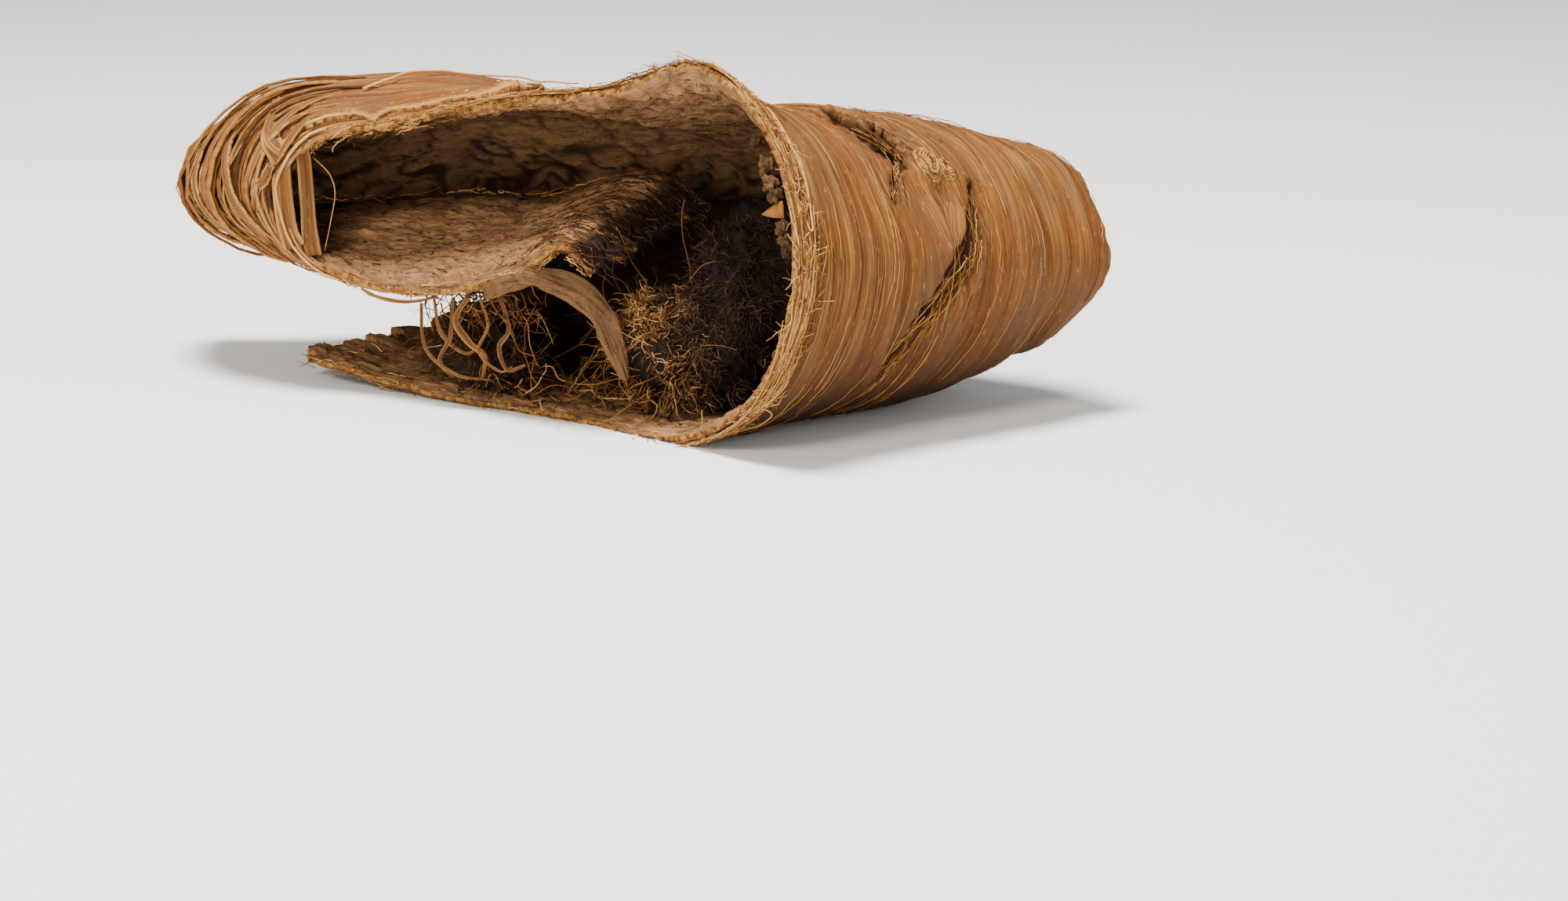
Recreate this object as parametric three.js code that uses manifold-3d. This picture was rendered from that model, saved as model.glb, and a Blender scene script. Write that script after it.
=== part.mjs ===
// A dried piece of bark: one broad strip that has wound itself into a loose, flattened scroll.
// Millimetres, +Z up. The scroll's axis runs along Y, and its big bend faces +X.
import * as THREE from 'three';
import { mergeVertices } from 'three/addons/utils/BufferGeometryUtils.js';
import Module from 'manifold-3d';

const wasm = await Module();
wasm.setup();

// Driving dimensions of the strip
const THICKNESS = 2.6;
const GROUND = -0.7; // the plane that the underside is worn flat on
const DIP_REACH = 0.38; // share of the width that the hollow behind the near rim takes
const CURL_START = 0.62; // share of the width where the far rim starts to curl in
const ROW_LENGTH = 11; // longest step along the strip
const ROW_TURN = 0.38; // most that the strip turns in a step, in radians
const COLUMNS = 22;

// Driving dimensions of the surface
const RIDGE_HEIGHT = 0.6;
const RIDGE_COUNT = 15;
const CRUST_HEIGHT = 0.55;
const CRUST_SIZE = 7;
const BARK_COLOUR = 0xb07c49;

// Stations along the strip: near rim, far rim, then crown, dip and curl of the width between them
const STATIONS = [
  { near: [-93, -20, 4], far: [-98, 40, 6], crown: 0, dip: 0, curl: 15, torn: 3 }, // tail
  { near: [-62, -11, 1], far: [-66, 56, 1], crown: 0, dip: 0, curl: 29, torn: 2 }, // lower arm, left
  { near: [-30, -3, 0], far: [-32, 68, 0], crown: 0, dip: 0, curl: 28, torn: 1.5 }, // lower arm
  { near: [2, 0, 1], far: [0, 75, 1], crown: 0, dip: 0, curl: 17, torn: 1 }, // foot of the big bend
  { near: [23, 0, 12], far: [19, 77, 10.5], crown: 0, dip: 0, curl: 4, torn: 1 }, // low on the bend
  { near: [33, 0, 33], far: [28.5, 78, 26], crown: 0, dip: 1, curl: 1, torn: 0.9 }, // front of the bend
  { near: [26, 2, 51], far: [21, 78, 41], crown: 0, dip: 4, curl: 1, torn: 0.9 }, // high on the bend
  { near: [6, 4, 63.4], far: [-2, 79, 47], crown: 0, dip: 7, curl: 5, torn: 1.2 }, // peak
  { near: [-22, 3, 56.8], far: [-36, 70, 40], crown: 2, dip: 4, curl: 13, torn: 1.2 }, // upper arm, right
  { near: [-44, -2, 53.5], far: [-72, 56, 36], crown: 5.5, dip: 1, curl: 13, torn: 2.6 }, // upper arm
  { near: [-62, -12, 48], far: [-102, 30, 34], crown: 11, dip: 0, curl: 11, torn: 3 }, // upper arm, left
  { near: [-75, -20, 44.5], far: [-120, 4, 33], crown: 11, dip: 0, curl: 8.5, torn: 1.5 }, // shoulder
  { near: [-82, -23, 36], far: [-129, -12, 31], crown: 7, dip: 0, curl: 3, torn: 1 }, // top of the fold
  { near: [-78, -22, 26], far: [-122, -12, 27], crown: 2, dip: 0, curl: 0, torn: 1 }, // foot of the fold
  { near: [-66, -18, 21], far: [-107, 0, 27.5], crown: 0, dip: 0, curl: 0, torn: 1.2 }, // inner arm, left
  { near: [-48, -13, 21], far: [-84, 16, 29.5], crown: 0, dip: 0, curl: 0, torn: 1.4 }, // inner arm
  { near: [-30, -9, 26], far: [-64, 25, 31], crown: 0, dip: 0, curl: 0, torn: 1.4 }, // inner arm, right
  { near: [-20, -8, 32], far: [-46, 34, 38], crown: 1, dip: 0, curl: 0, torn: 1.6 }, // inner crest
  { near: [-13, -6, 28], far: [-34, 38, 32], crown: 0, dip: 0, curl: 0, torn: 2 }, // torn inner end
];

// Places on the strip: a station number, whole or part, and a share of the width
const KNOT = { at: 6.03, across: 0.49, radius: 4, height: 1.5 };
const LAMINA = {
  from: 8.95, to: 12.3, near: 0.05, far: 0.97, height: 1.5, lift: 1.8, rows: 13, columns: 8,
};
const TEAR = { path: [[7, 0.44], [6.8, 0.42], [6.55, 0.43], [6.3, 0.43], [6.1, 0.42]], half: 2.3 };
const SPLIT = { path: [[6.2, 0.43], [5.95, 0.39], [5.65, 0.35]], half: 0.8, depth: 1.9 };
const GASH = {
  path: [[5.85, 0.61], [5.31, 0.56], [4.97, 0.51], [4.63, 0.45], [4.36, 0.41], [3.95, 0.36]],
  half: 1.9,
  depth: 2,
};
const CRACKS = [
  { path: [[9.1, 0.1], [9, 0.3], [9.15, 0.5], [9.05, 0.75]], half: 0.7, depth: 1.6 },
  { path: [[9.1, 0.55], [8.7, 0.62], [8.2, 0.6], [7.7, 0.66]], half: 0.7, depth: 1.5 },
  { path: [[2.9, 0.12], [2.3, 0.18], [1.7, 0.15]], half: 0.6, depth: 1.4 },
];

// Shreds of fibre: a core that blades stand out of, with its centre, its three radii, and its blades
const TUFTS = [
  { seed: 11, centre: [-14, 20, 12.5], radii: [14, 13, 12], blades: 34, length: 7 }, // on the lower arm
  { seed: 23, centre: [0, 22, 27], radii: [11, 11, 12], blades: 18, length: 6 }, // against the big bend
  { seed: 37, centre: [-56, 2, 7], radii: [13, 9, 6], blades: 18, length: 9 }, // under the inner arm
];
const BLADE_HALF = 0.55;
const STRANDS = { seed: 5, count: 10, from: 11, to: 13.8, half: 0.8, steps: 5 };
const RIBBONS = [
  {
    path: [[10.9, 0.2, 2.6], [11.6, 0.07, 3.2], [12.3, -0.02, 2.4], [13.1, -0.04, 0.6], [14, -0.02, 0.4]],
    half: 2.1,
  },
  {
    path: [[11.2, 0.1, 2.2], [11.9, -0.02, 2.2], [12.7, -0.06, -0.8], [13.6, -0.04, -1.2], [14.4, 0.02, -0.6]],
    half: 1.5,
  },
  { path: [[11.5, 0.3, 2.4], [12.1, 0.14, 2.8], [12.8, 0.05, 1.6], [13.5, 0.02, 0.6]], half: 1.2 },
];
const RIM_FIBRES = { seed: 71, count: 20, from: 3, to: 7, length: 4.2 };
const END_FIBRES = { seed: 91, count: 11, length: 7 };

// A repeatable stream of random numbers between 0 and 1
function randomStream(seed) {
  let state = seed;
  return () => {
    state = (state * 1664525 + 1013904223) % 4294967296;
    return state / 4294967296;
  };
}

// Smooth noise between -1 and 1, from fixed values on a square lattice
function latticeValue(i, j) {
  const wave = Math.sin(i * 127.1 + j * 311.7) * 43758.5453;
  return 2 * (wave - Math.floor(wave)) - 1;
}

function noise(x, y) {
  const [i, j] = [Math.floor(x), Math.floor(y)];
  const [fx, fy] = [THREE.MathUtils.smoothstep(x - i, 0, 1), THREE.MathUtils.smoothstep(y - j, 0, 1)];
  const low = THREE.MathUtils.lerp(latticeValue(i, j), latticeValue(i + 1, j), fx);
  const high = THREE.MathUtils.lerp(latticeValue(i, j + 1), latticeValue(i + 1, j + 1), fx);
  return THREE.MathUtils.lerp(low, high, fy);
}

// The strip's middle surface
const LAST = STATIONS.length - 1;
const rimCurve = (side) => new THREE.CatmullRomCurve3(STATIONS.map((s) => new THREE.Vector3(...s[side])));
const NEAR_RIM = rimCurve('near');
const FAR_RIM = rimCurve('far');

function stationValue(name, at) {
  const first = Math.min(Math.floor(at), LAST - 1);
  const share = THREE.MathUtils.smoothstep(at - first, 0, 1);
  return THREE.MathUtils.lerp(STATIONS[first][name], STATIONS[first + 1][name], share);
}

function flatPoint(at, across) {
  const t = THREE.MathUtils.clamp(at / LAST, 0, 1);
  return NEAR_RIM.getPoint(t).lerp(FAR_RIM.getPoint(t), across);
}

function frameOf(pointAt, at, across) {
  const [du, dw] = [0.02, 0.01];
  const [before, after] = [Math.max(at - du, 0), Math.min(at + du, LAST)];
  const along = pointAt(after, across).sub(pointAt(before, across)).normalize();
  const side = pointAt(at, across + dw).sub(pointAt(at, across - dw)).normalize();
  const out = new THREE.Vector3().crossVectors(side, along).normalize();
  return { along, side, out };
}

function middlePoint(at, across) {
  const { out } = frameOf(flatPoint, at, across);
  const crown = stationValue('crown', at) * 4 * across * (1 - across);
  const rise = Math.max(0, 1 - across / DIP_REACH) ** 2;
  const dip = stationValue('dip', at) * (1 - across - rise);
  const curl = stationValue('curl', at) * Math.max(0, (across - CURL_START) / (1 - CURL_START)) ** 2;
  return flatPoint(at, across).addScaledVector(out, crown - dip - curl);
}

// A point that stands a height out of the middle surface, with the surface's own directions there
function place(at, across, height = 0) {
  const frame = frameOf(middlePoint, at, across);
  return { ...frame, point: middlePoint(at, across).addScaledVector(frame.out, height) };
}

// Length along the middle of the strip, so that relief keeps its size round every bend
const LENGTHS = [0];
for (let k = 1; k <= LAST * 8; k += 1) {
  const step = flatPoint(k / 8, 0.5).distanceTo(flatPoint((k - 1) / 8, 0.5));
  LENGTHS.push(LENGTHS[k - 1] + step);
}

function lengthAt(at) {
  const k = Math.min(Math.floor(at * 8), LAST * 8 - 1);
  return THREE.MathUtils.lerp(LENGTHS[k], LENGTHS[k + 1], at * 8 - k);
}

// How far a place is from the knot, along and across the strip, in millimetres
function fromKnot(at, across) {
  const width = flatPoint(at, 0).distanceTo(flatPoint(at, 1));
  return [lengthAt(at) - lengthAt(KNOT.at), (across - KNOT.across) * width];
}

// The smooth face: ridges of fibre along the strip, which part round the knot
function outerHeight(at, across) {
  const [along, aside] = fromKnot(at, across);
  const near = Math.exp(-(along ** 2 + aside ** 2) / (2 * KNOT.radius ** 2));
  const part = 0.05 * Math.sign(aside) * Math.exp(-(along ** 2 + aside ** 2) / 400);
  const drift = 0.5 * noise(lengthAt(at) / 60, across * 3);
  const ridges = noise(lengthAt(at) / 50, (across - part) * RIDGE_COUNT + drift);
  const swell = 0.35 * noise(lengthAt(at) / 24, across * 5 + 9);
  const knot = near * KNOT.height * Math.cos((1.1 * Math.hypot(along, aside)) / KNOT.radius);
  return THICKNESS / 2 + RIDGE_HEIGHT * ridges + swell + knot;
}

// The rough face: a cracked crust
function innerHeight(at, across) {
  const [x, y] = [lengthAt(at) / CRUST_SIZE, across * 10];
  return -THICKNESS / 2 + CRUST_HEIGHT * (0.7 * noise(x, y) + 0.5 * noise(x * 2 + 5, y * 2 + 3));
}

// Rows along the strip, closer where it bends
function rowsBetween(from, to) {
  const rows = [from];
  let spent = 0;
  const step = 0.05;
  for (let at = from + step; at < to - step; at += step) {
    const move = flatPoint(at, 0).distanceTo(flatPoint(at - step, 0));
    const turn = frameOf(flatPoint, at, 0).along.angleTo(frameOf(flatPoint, at - step, 0).along);
    spent += move / ROW_LENGTH + turn / ROW_TURN;
    if (spent >= 1) {
      rows.push(at);
      spent = 0;
    }
  }
  return [...rows, to];
}

// A closed solid between two faces of one grid of points
function gridSolid(top, bottom) {
  const [rows, columns] = [top.length, top[0].length];
  const [end, far] = [rows - 1, columns - 1];
  const points = [...top.flat(), ...bottom.flat()];
  const index = [];
  const quad = (a, b, c, d) => index.push(a, b, c, a, c, d);
  const upper = (i, j) => i * columns + j;
  const lower = (i, j) => rows * columns + i * columns + j;
  for (let i = 0; i < rows - 1; i += 1) {
    for (let j = 0; j < columns - 1; j += 1) {
      quad(upper(i, j), upper(i, j + 1), upper(i + 1, j + 1), upper(i + 1, j));
      quad(lower(i, j), lower(i + 1, j), lower(i + 1, j + 1), lower(i, j + 1));
    }
    quad(upper(i, 0), upper(i + 1, 0), lower(i + 1, 0), lower(i, 0));
    quad(upper(i + 1, far), upper(i, far), lower(i, far), lower(i + 1, far));
  }
  for (let j = 0; j < columns - 1; j += 1) {
    quad(upper(0, j + 1), upper(0, j), lower(0, j), lower(0, j + 1));
    quad(upper(end, j), upper(end, j + 1), lower(end, j + 1), lower(end, j));
  }
  return solidFrom(points, index);
}

function solidFrom(points, index) {
  const mesh = new wasm.Mesh({
    numProp: 3,
    vertProperties: new Float32Array(points.flatMap((p) => [p.x, p.y, p.z])),
    triVerts: new Uint32Array(index),
  });
  return new wasm.Manifold(mesh);
}

function solidFromGeometry(geometry) {
  geometry.deleteAttribute('normal');
  geometry.deleteAttribute('uv');
  const merged = mergeVertices(geometry, 1e-4);
  const mesh = new wasm.Mesh({
    numProp: 3,
    vertProperties: merged.getAttribute('position').array,
    triVerts: new Uint32Array(merged.getIndex().array),
  });
  return new wasm.Manifold(mesh);
}

// A strap of fibre: an oblong or three-sided section carried along a list of stops, each with a
// point, the directions of its width and its thickness, and half of both
function strap(stops, sides = 4) {
  const oblong = [[-1, 1], [1, 1], [1, -1], [-1, -1]];
  const corners = sides === 4 ? oblong : [[0, -1], [0.87, 0.5], [-0.87, 0.5]];
  const points = stops.flatMap(({ point, side, out, half, thick }) =>
    corners.map(([a, b]) => point.clone().addScaledVector(side, a * half).addScaledVector(out, b * thick)));
  const index = [];
  for (let i = 0; i < stops.length - 1; i += 1) {
    for (let k = 0; k < sides; k += 1) {
      const [a, b] = [i * sides + k, i * sides + ((k + 1) % sides)];
      index.push(a, b, b + sides, a, b + sides, a + sides);
    }
  }
  const last = (stops.length - 1) * sides;
  for (let k = 1; k < sides - 1; k += 1) {
    index.push(0, k + 1, k, last, last + k, last + k + 1);
  }
  const solid = solidFrom(points, index);
  return solid.volume() > 0 ? solid : solidFrom(points, index.reverse());
}

// Stops along a list of places on the strip, tapered towards both ends
function stopsAlong(places, half, thick, tip = 0.25) {
  const last = places.length - 1;
  return places.map(({ point, out }, i) => {
    const heading = places[Math.min(i + 1, last)].point.clone().sub(places[Math.max(i - 1, 0)].point);
    const taper = tip + (1 - tip) * Math.sin((Math.PI * (i + 0.15)) / (last + 0.3));
    return { point, out, side: heading.cross(out).normalize(), half: half * taper, thick };
  });
}

// A V-shaped cut into one face of the strip: face is 1 for the smooth one and -1 for the rough one
function groove({ path, half, depth }, face) {
  const middle = THICKNESS / 2 + 0.5 - depth * 0.4;
  const places = path.map(([at, across]) => {
    const { point, out } = place(at, across, face * middle);
    return { point, out: out.multiplyScalar(face) };
  });
  return strap(stopsAlong(places, half * 1.4, depth * 0.6 + 0.3), 3);
}

// A cut right through the strip
function hole({ path, half }) {
  const places = path.map(([at, across]) => place(at, across));
  return strap(stopsAlong(places, half, THICKNESS * 1.6, 0.1));
}

// A thin blade that leaves its root along a heading and bends aside
function blade(root, heading, bend, length, half) {
  const side = new THREE.Vector3().crossVectors(heading, bend).normalize();
  const out = new THREE.Vector3().crossVectors(side, heading).normalize();
  const stops = [0, 0.5, 1].map((share) => {
    const point = root.clone().addScaledVector(heading, length * share);
    point.addScaledVector(bend, length * share ** 2);
    const taper = half * (1 - 0.45 * share);
    return { point, side, out, half: taper, thick: taper };
  });
  return strap(stops, 3);
}

const join = (solids) => solids.reduce((all, solid) => all.add(solid));

function randomDirection(random) {
  return new THREE.Vector3(random() - 0.5, random() - 0.5, random() - 0.5).normalize();
}

// A shred of fibre: a lumpy core with blades that leave it every way
function tuftSolid({ seed, centre, radii, blades, length }) {
  const random = randomStream(seed);
  const core = new THREE.IcosahedronGeometry(1, 2);
  const corners = core.getAttribute('position');
  const [middle, size] = [new THREE.Vector3(...centre), new THREE.Vector3(...radii)];
  const onCore = (way) => {
    const reach = 0.85 + 0.22 * noise(way.x * 2.2 + seed, way.y * 2.2 + way.z * 3);
    return way.clone().multiplyScalar(reach).multiply(size).add(middle);
  };
  for (let i = 0; i < corners.count; i += 1) {
    const corner = onCore(new THREE.Vector3().fromBufferAttribute(corners, i));
    corners.setXYZ(i, corner.x, corner.y, corner.z);
  }
  const solids = [solidFromGeometry(core)];
  for (let k = 0; k < blades; k += 1) {
    const height = 1 - (2 * (k + 0.5)) / blades;
    const turn = k * 2.39996 + random();
    const round = Math.sqrt(1 - height ** 2);
    const way = new THREE.Vector3(round * Math.cos(turn), round * Math.sin(turn), height);
    const heading = way.clone().addScaledVector(randomDirection(random), 0.7).normalize();
    const root = onCore(way).addScaledVector(heading, -1.2);
    const bend = randomDirection(random).multiplyScalar(0.6);
    solids.push(blade(root, heading, bend, length * (0.6 + 0.6 * random()), BLADE_HALF));
  }
  return join(solids);
}

// The strip itself, with torn rims and torn ends
function stripSolid() {
  const rows = rowsBetween(0, LAST);
  const grid = (height, shift) => rows.map((row) =>
    Array.from({ length: COLUMNS + 1 }, (_, j) => {
      const torn = stationValue('torn', row) / 76;
      const tear = (seed) => 0.5 * torn * (1 + noise(lengthAt(row) / 6 + seed, shift));
      const first = tear(3);
      const across = first + (1 - first - tear(40)) * (j / COLUMNS);
      const ends = 0.16 * (1 + noise(j * 0.9, 70 + shift));
      const at = THREE.MathUtils.clamp(row, ends, LAST - ends);
      const spread = row === 0 || row === LAST ? at : row;
      return place(spread, across, height(spread, across)).point;
    }));
  return gridSolid(grid(outerHeight, 0), grid(innerHeight, 0.35));
}

// The layer that has lifted off the upper arm's smooth face, with its torn end raised
function laminaSolid() {
  const { from, to, near, far, height, lift, rows, columns } = LAMINA;
  const grid = (top) => Array.from({ length: rows + 1 }, (_, i) =>
    Array.from({ length: columns + 1 }, (__, j) => {
      const ragged = 0.16 * (1 + noise(j * 0.8, 21)) * (1 - i / rows);
      const at = THREE.MathUtils.lerp(from, to, i / rows) + ragged;
      const tear = 0.03 * noise(at * 4, 33);
      const across = THREE.MathUtils.lerp(near + tear, far, j / columns);
      const raised = lift * Math.exp(-4 * (at - from)) * (0.6 + 0.4 * noise(j * 0.7, 5));
      const edge = Math.min(1, 3 * (1 - i / rows)) * (j === 0 || j === columns ? 0.35 : 1);
      const ridges = 0.4 * noise(lengthAt(at) / 40, across * 19);
      const above = top ? (height + ridges) * edge + raised : raised * 0.6 - 0.7;
      return place(at, across, outerHeight(at, across) + above).point;
    }));
  return gridSolid(grid(true), grid(false));
}

// Strands over the outside of the left fold, and the flat ribbons that hang in front of it
function strandSolids() {
  const random = randomStream(STRANDS.seed);
  const { count, from, to, half, steps } = STRANDS;
  const strands = Array.from({ length: count }, (_, k) => {
    const start = 0.06 + (0.86 * k) / count;
    const drift = 0.1 * (random() - 0.7);
    const stand = 0.9 + 1.1 * random();
    const [first, last] = [from + 0.7 * random(), to - 0.9 * random()];
    const places = Array.from({ length: steps + 1 }, (__, i) => {
      const share = i / steps;
      const height = THICKNESS / 2 - 0.3 + stand * Math.sin(Math.PI * share);
      return place(THREE.MathUtils.lerp(first, last, share), start + drift * share, height);
    });
    return strap(stopsAlong(places, half * (0.8 + 0.6 * random()), 0.45));
  });
  const ribbons = RIBBONS.map(({ path, half: width }) => {
    const places = path.map(([at, across, height]) => place(at, across, height));
    return strap(stopsAlong(places, width, 0.5, 0.7));
  });
  return [...strands, ...ribbons];
}

// Loose fibres along the near rim of the big bend
function rimFibres() {
  const random = randomStream(RIM_FIBRES.seed);
  const { count, from, to, length } = RIM_FIBRES;
  return Array.from({ length: count }, (_, k) => {
    const at = THREE.MathUtils.lerp(from, to, (k + random()) / count);
    const { point, along, side, out } = place(at, 0.02 + 0.05 * random(), THICKNESS / 2 - 0.3);
    const heading = side.multiplyScalar(-0.5 - random()).addScaledVector(along, 2 * (random() - 0.5));
    heading.addScaledVector(out, 0.25 + 0.3 * random()).normalize();
    const bend = along.clone().sub(out).multiplyScalar(0.2);
    return blade(point, heading, bend, length * (0.5 + random()), BLADE_HALF);
  });
}

// Splinters that carry on past a torn end: way is 1 past the inner end and -1 past the tail
function endFibres(end, way, seed) {
  const random = randomStream(seed);
  return Array.from({ length: END_FIBRES.count }, (_, k) => {
    const across = 0.06 + (0.88 * (k + random())) / END_FIBRES.count;
    const { point, along, out } = place(end - way * 0.4, across, (random() - 0.5) * THICKNESS * 0.5);
    const heading = along.multiplyScalar(way).addScaledVector(randomDirection(random), 0.35).normalize();
    const bend = out.multiplyScalar(0.5 * (random() - 0.3));
    return blade(point, heading, bend, END_FIBRES.length * (0.8 + random()), BLADE_HALF);
  });
}

// Everything that the ground would hold up is worn off flat
function groundSolid() {
  const [size, depth] = [600, 60];
  return solidFromGeometry(new THREE.BoxGeometry(size, size, depth).translate(0, 0, GROUND - depth / 2));
}

// One body: what fusing leaves loose is dropped, and what it seals is filled
function oneBody(solid) {
  return solid.decompose().sort((a, b) => b.volume() - a.volume())[0];
}

const cuts = [hole(TEAR), groove(SPLIT, 1), groove(GASH, 1), ...CRACKS.map((crack) => groove(crack, -1))];
const growths = [
  laminaSolid(),
  ...strandSolids(),
  ...TUFTS.map(tuftSolid),
  ...rimFibres(),
  ...endFibres(LAST, 1, END_FIBRES.seed),
  ...endFibres(0, -1, END_FIBRES.seed + 1),
];
const cutStrip = cuts.reduce((solid, cut) => solid.subtract(cut), stripSolid());
const grown = growths.reduce((solid, growth) => solid.add(growth), cutStrip);
const whole = oneBody(grown.subtract(groundSolid()));

function meshFrom(solid) {
  const { vertProperties, triVerts } = solid.getMesh();
  const geometry = new THREE.BufferGeometry();
  geometry.setAttribute('position', new THREE.BufferAttribute(new Float32Array(vertProperties), 3));
  geometry.setIndex(new THREE.BufferAttribute(new Uint32Array(triVerts), 1));
  geometry.computeVertexNormals();
  return geometry;
}

// The origin is the middle of the scroll's box, on the ground
const geometry = meshFrom(whole);
geometry.computeBoundingBox();
const middle = geometry.boundingBox.getCenter(new THREE.Vector3());
geometry.translate(-middle.x, -middle.y, -geometry.boundingBox.min.z);

const bark = new THREE.Mesh(
  geometry,
  new THREE.MeshStandardMaterial({ color: BARK_COLOUR, roughness: 0.85, metalness: 0 }),
);
bark.name = 'bark_strip';

const part = new THREE.Group();
part.name = 'piece_of_bark';
part.add(bark);
export default part;
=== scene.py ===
# %% [markdown]
# # A dried, curled piece of bark
#
# The real object is one broad strip of fibrous bark. While it dried it wound itself into a loose,
# flattened scroll: the smooth, tan, stringy face that lay against the wood is outside, and the
# rough, dark face is inside. This lesson builds its surfaces around a fixed frame, which is the
# same strip as a plain solid, so that every fibre lands where the solid already is.

import math

import bpy
import numpy as np
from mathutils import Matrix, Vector


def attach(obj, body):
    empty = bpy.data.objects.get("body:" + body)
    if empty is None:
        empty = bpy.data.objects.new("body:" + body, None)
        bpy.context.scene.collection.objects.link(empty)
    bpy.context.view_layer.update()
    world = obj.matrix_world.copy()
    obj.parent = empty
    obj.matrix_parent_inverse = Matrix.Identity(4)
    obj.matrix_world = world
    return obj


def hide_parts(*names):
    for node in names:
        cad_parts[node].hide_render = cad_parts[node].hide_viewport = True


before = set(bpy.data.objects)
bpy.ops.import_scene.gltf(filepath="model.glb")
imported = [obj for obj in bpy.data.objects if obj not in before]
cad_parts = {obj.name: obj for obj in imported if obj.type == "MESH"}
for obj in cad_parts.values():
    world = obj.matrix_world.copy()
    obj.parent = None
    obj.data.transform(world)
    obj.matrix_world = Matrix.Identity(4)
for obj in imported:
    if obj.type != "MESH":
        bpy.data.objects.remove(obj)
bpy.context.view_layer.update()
MM = 0.001

# %% [markdown]
# ## The camera
#
# The camera is made first, because each later choice of detail depends on what it sees. The bark
# is seen from a little above the ground it lies on, looking into the mouth of the scroll from the
# near right. A long lens keeps the near and the far rim close in size.

# %% Set the camera
AZIMUTH, ELEVATION = math.radians(50), math.radians(12)
VIEW_DISTANCE = 750 * MM
AIM = Vector((60.3, -10.0, -1.2)) * MM
away_from_bark = Vector((
    math.sin(AZIMUTH) * math.cos(ELEVATION),
    -math.cos(AZIMUTH) * math.cos(ELEVATION),
    math.sin(ELEVATION),
))
camera = bpy.data.objects.new("camera", bpy.data.cameras.new("camera"))
bpy.context.scene.collection.objects.link(camera)
camera.data.lens = 100
camera.data.sensor_width = 36
camera.location = AIM + away_from_bark * VIEW_DISTANCE
camera.rotation_euler = (-away_from_bark).to_track_quat("-Z", "Y").to_euler()
bpy.context.scene.camera = camera
print("the camera stands at", [round(v, 3) for v in camera.location])

# %% [markdown]
# ## The strip as a surface
#
# A curled strip is easiest to describe by its two rims. Each station gives a point on the near rim
# and one on the far rim, and smooth curves run through them. Between the rims the width is bowed
# up by the crown, sunk by the dip behind the near rim, and turned in by the curl of the far rim.
# A last number says how far the rims are torn in. Any place on the bark is then a pair of numbers:
# how far along the stations, and how far across.

# %% Write down the stations
THICKNESS = 2.6
DIP_REACH = 0.38  # share of the width that the hollow behind the near rim takes
CURL_START = 0.62  # share of the width where the far rim starts to curl in
ORIGIN = np.array([-47.005, 25.216, -0.7])  # the frame's origin, among the stations

STATIONS = [
    # near rim, far rim, crown, dip, curl and torn, all in millimetres
    ((-93, -20, 4), (-98, 40, 6), 0, 0, 15, 3),  # tail
    ((-62, -11, 1), (-66, 56, 1), 0, 0, 29, 2),  # lower arm, left
    ((-30, -3, 0), (-32, 68, 0), 0, 0, 28, 1.5),  # lower arm
    ((2, 0, 1), (0, 75, 1), 0, 0, 17, 1),  # foot of the big bend
    ((23, 0, 12), (19, 77, 10.5), 0, 0, 4, 1),  # low on the bend
    ((33, 0, 33), (28.5, 78, 26), 0, 1, 1, 0.9),  # front of the bend
    ((26, 2, 51), (21, 78, 41), 0, 4, 1, 0.9),  # high on the bend
    ((6, 4, 63.4), (-2, 79, 47), 0, 7, 5, 1.2),  # peak
    ((-22, 3, 56.8), (-36, 70, 40), 2, 4, 13, 1.2),  # upper arm, right
    ((-44, -2, 53.5), (-72, 56, 36), 5.5, 1, 15.5, 2.6),  # upper arm
    ((-62, -12, 48), (-102, 30, 34), 11, 0, 11, 3),  # upper arm, left
    ((-75, -20, 44.5), (-120, 4, 33), 11, 0, 8.5, 1.5),  # shoulder
    ((-82, -23, 36), (-129, -12, 31), 7, 0, 3, 1),  # top of the fold
    ((-78, -22, 26), (-122, -12, 27), 2, 0, 0, 1),  # foot of the fold
    ((-66, -18, 21), (-107, 0, 27.5), 0, 0, 1, 1.2),  # inner arm, left
    ((-48, -13, 21), (-84, 16, 29.5), 0, 0, 2.5, 1.4),  # inner arm
    ((-30, -9, 26), (-64, 25, 31), 0, 0, 2, 1.4),  # inner arm, right
    ((-20, -8, 32), (-46, 34, 38), 1, 0, 0, 1.6),  # inner crest
    ((-13, -6, 28), (-34, 38, 32), 0, 0, 0, 2),  # torn inner end
]
LAST = len(STATIONS) - 1
NEAR_RIM = np.array([s[0] for s in STATIONS], float)
FAR_RIM = np.array([s[1] for s in STATIONS], float)
CROWN, DIP, CURL, TORN = (np.array([s[k] for s in STATIONS], float) for k in (2, 3, 4, 5))
print(LAST + 1, "stations from the tail to the torn inner end")


# %% Run smooth curves through points
def unit(v):
    """Vectors of length one, from an array of vectors."""
    return v / np.maximum(np.linalg.norm(v, axis=-1, keepdims=True), 1e-9)


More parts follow.
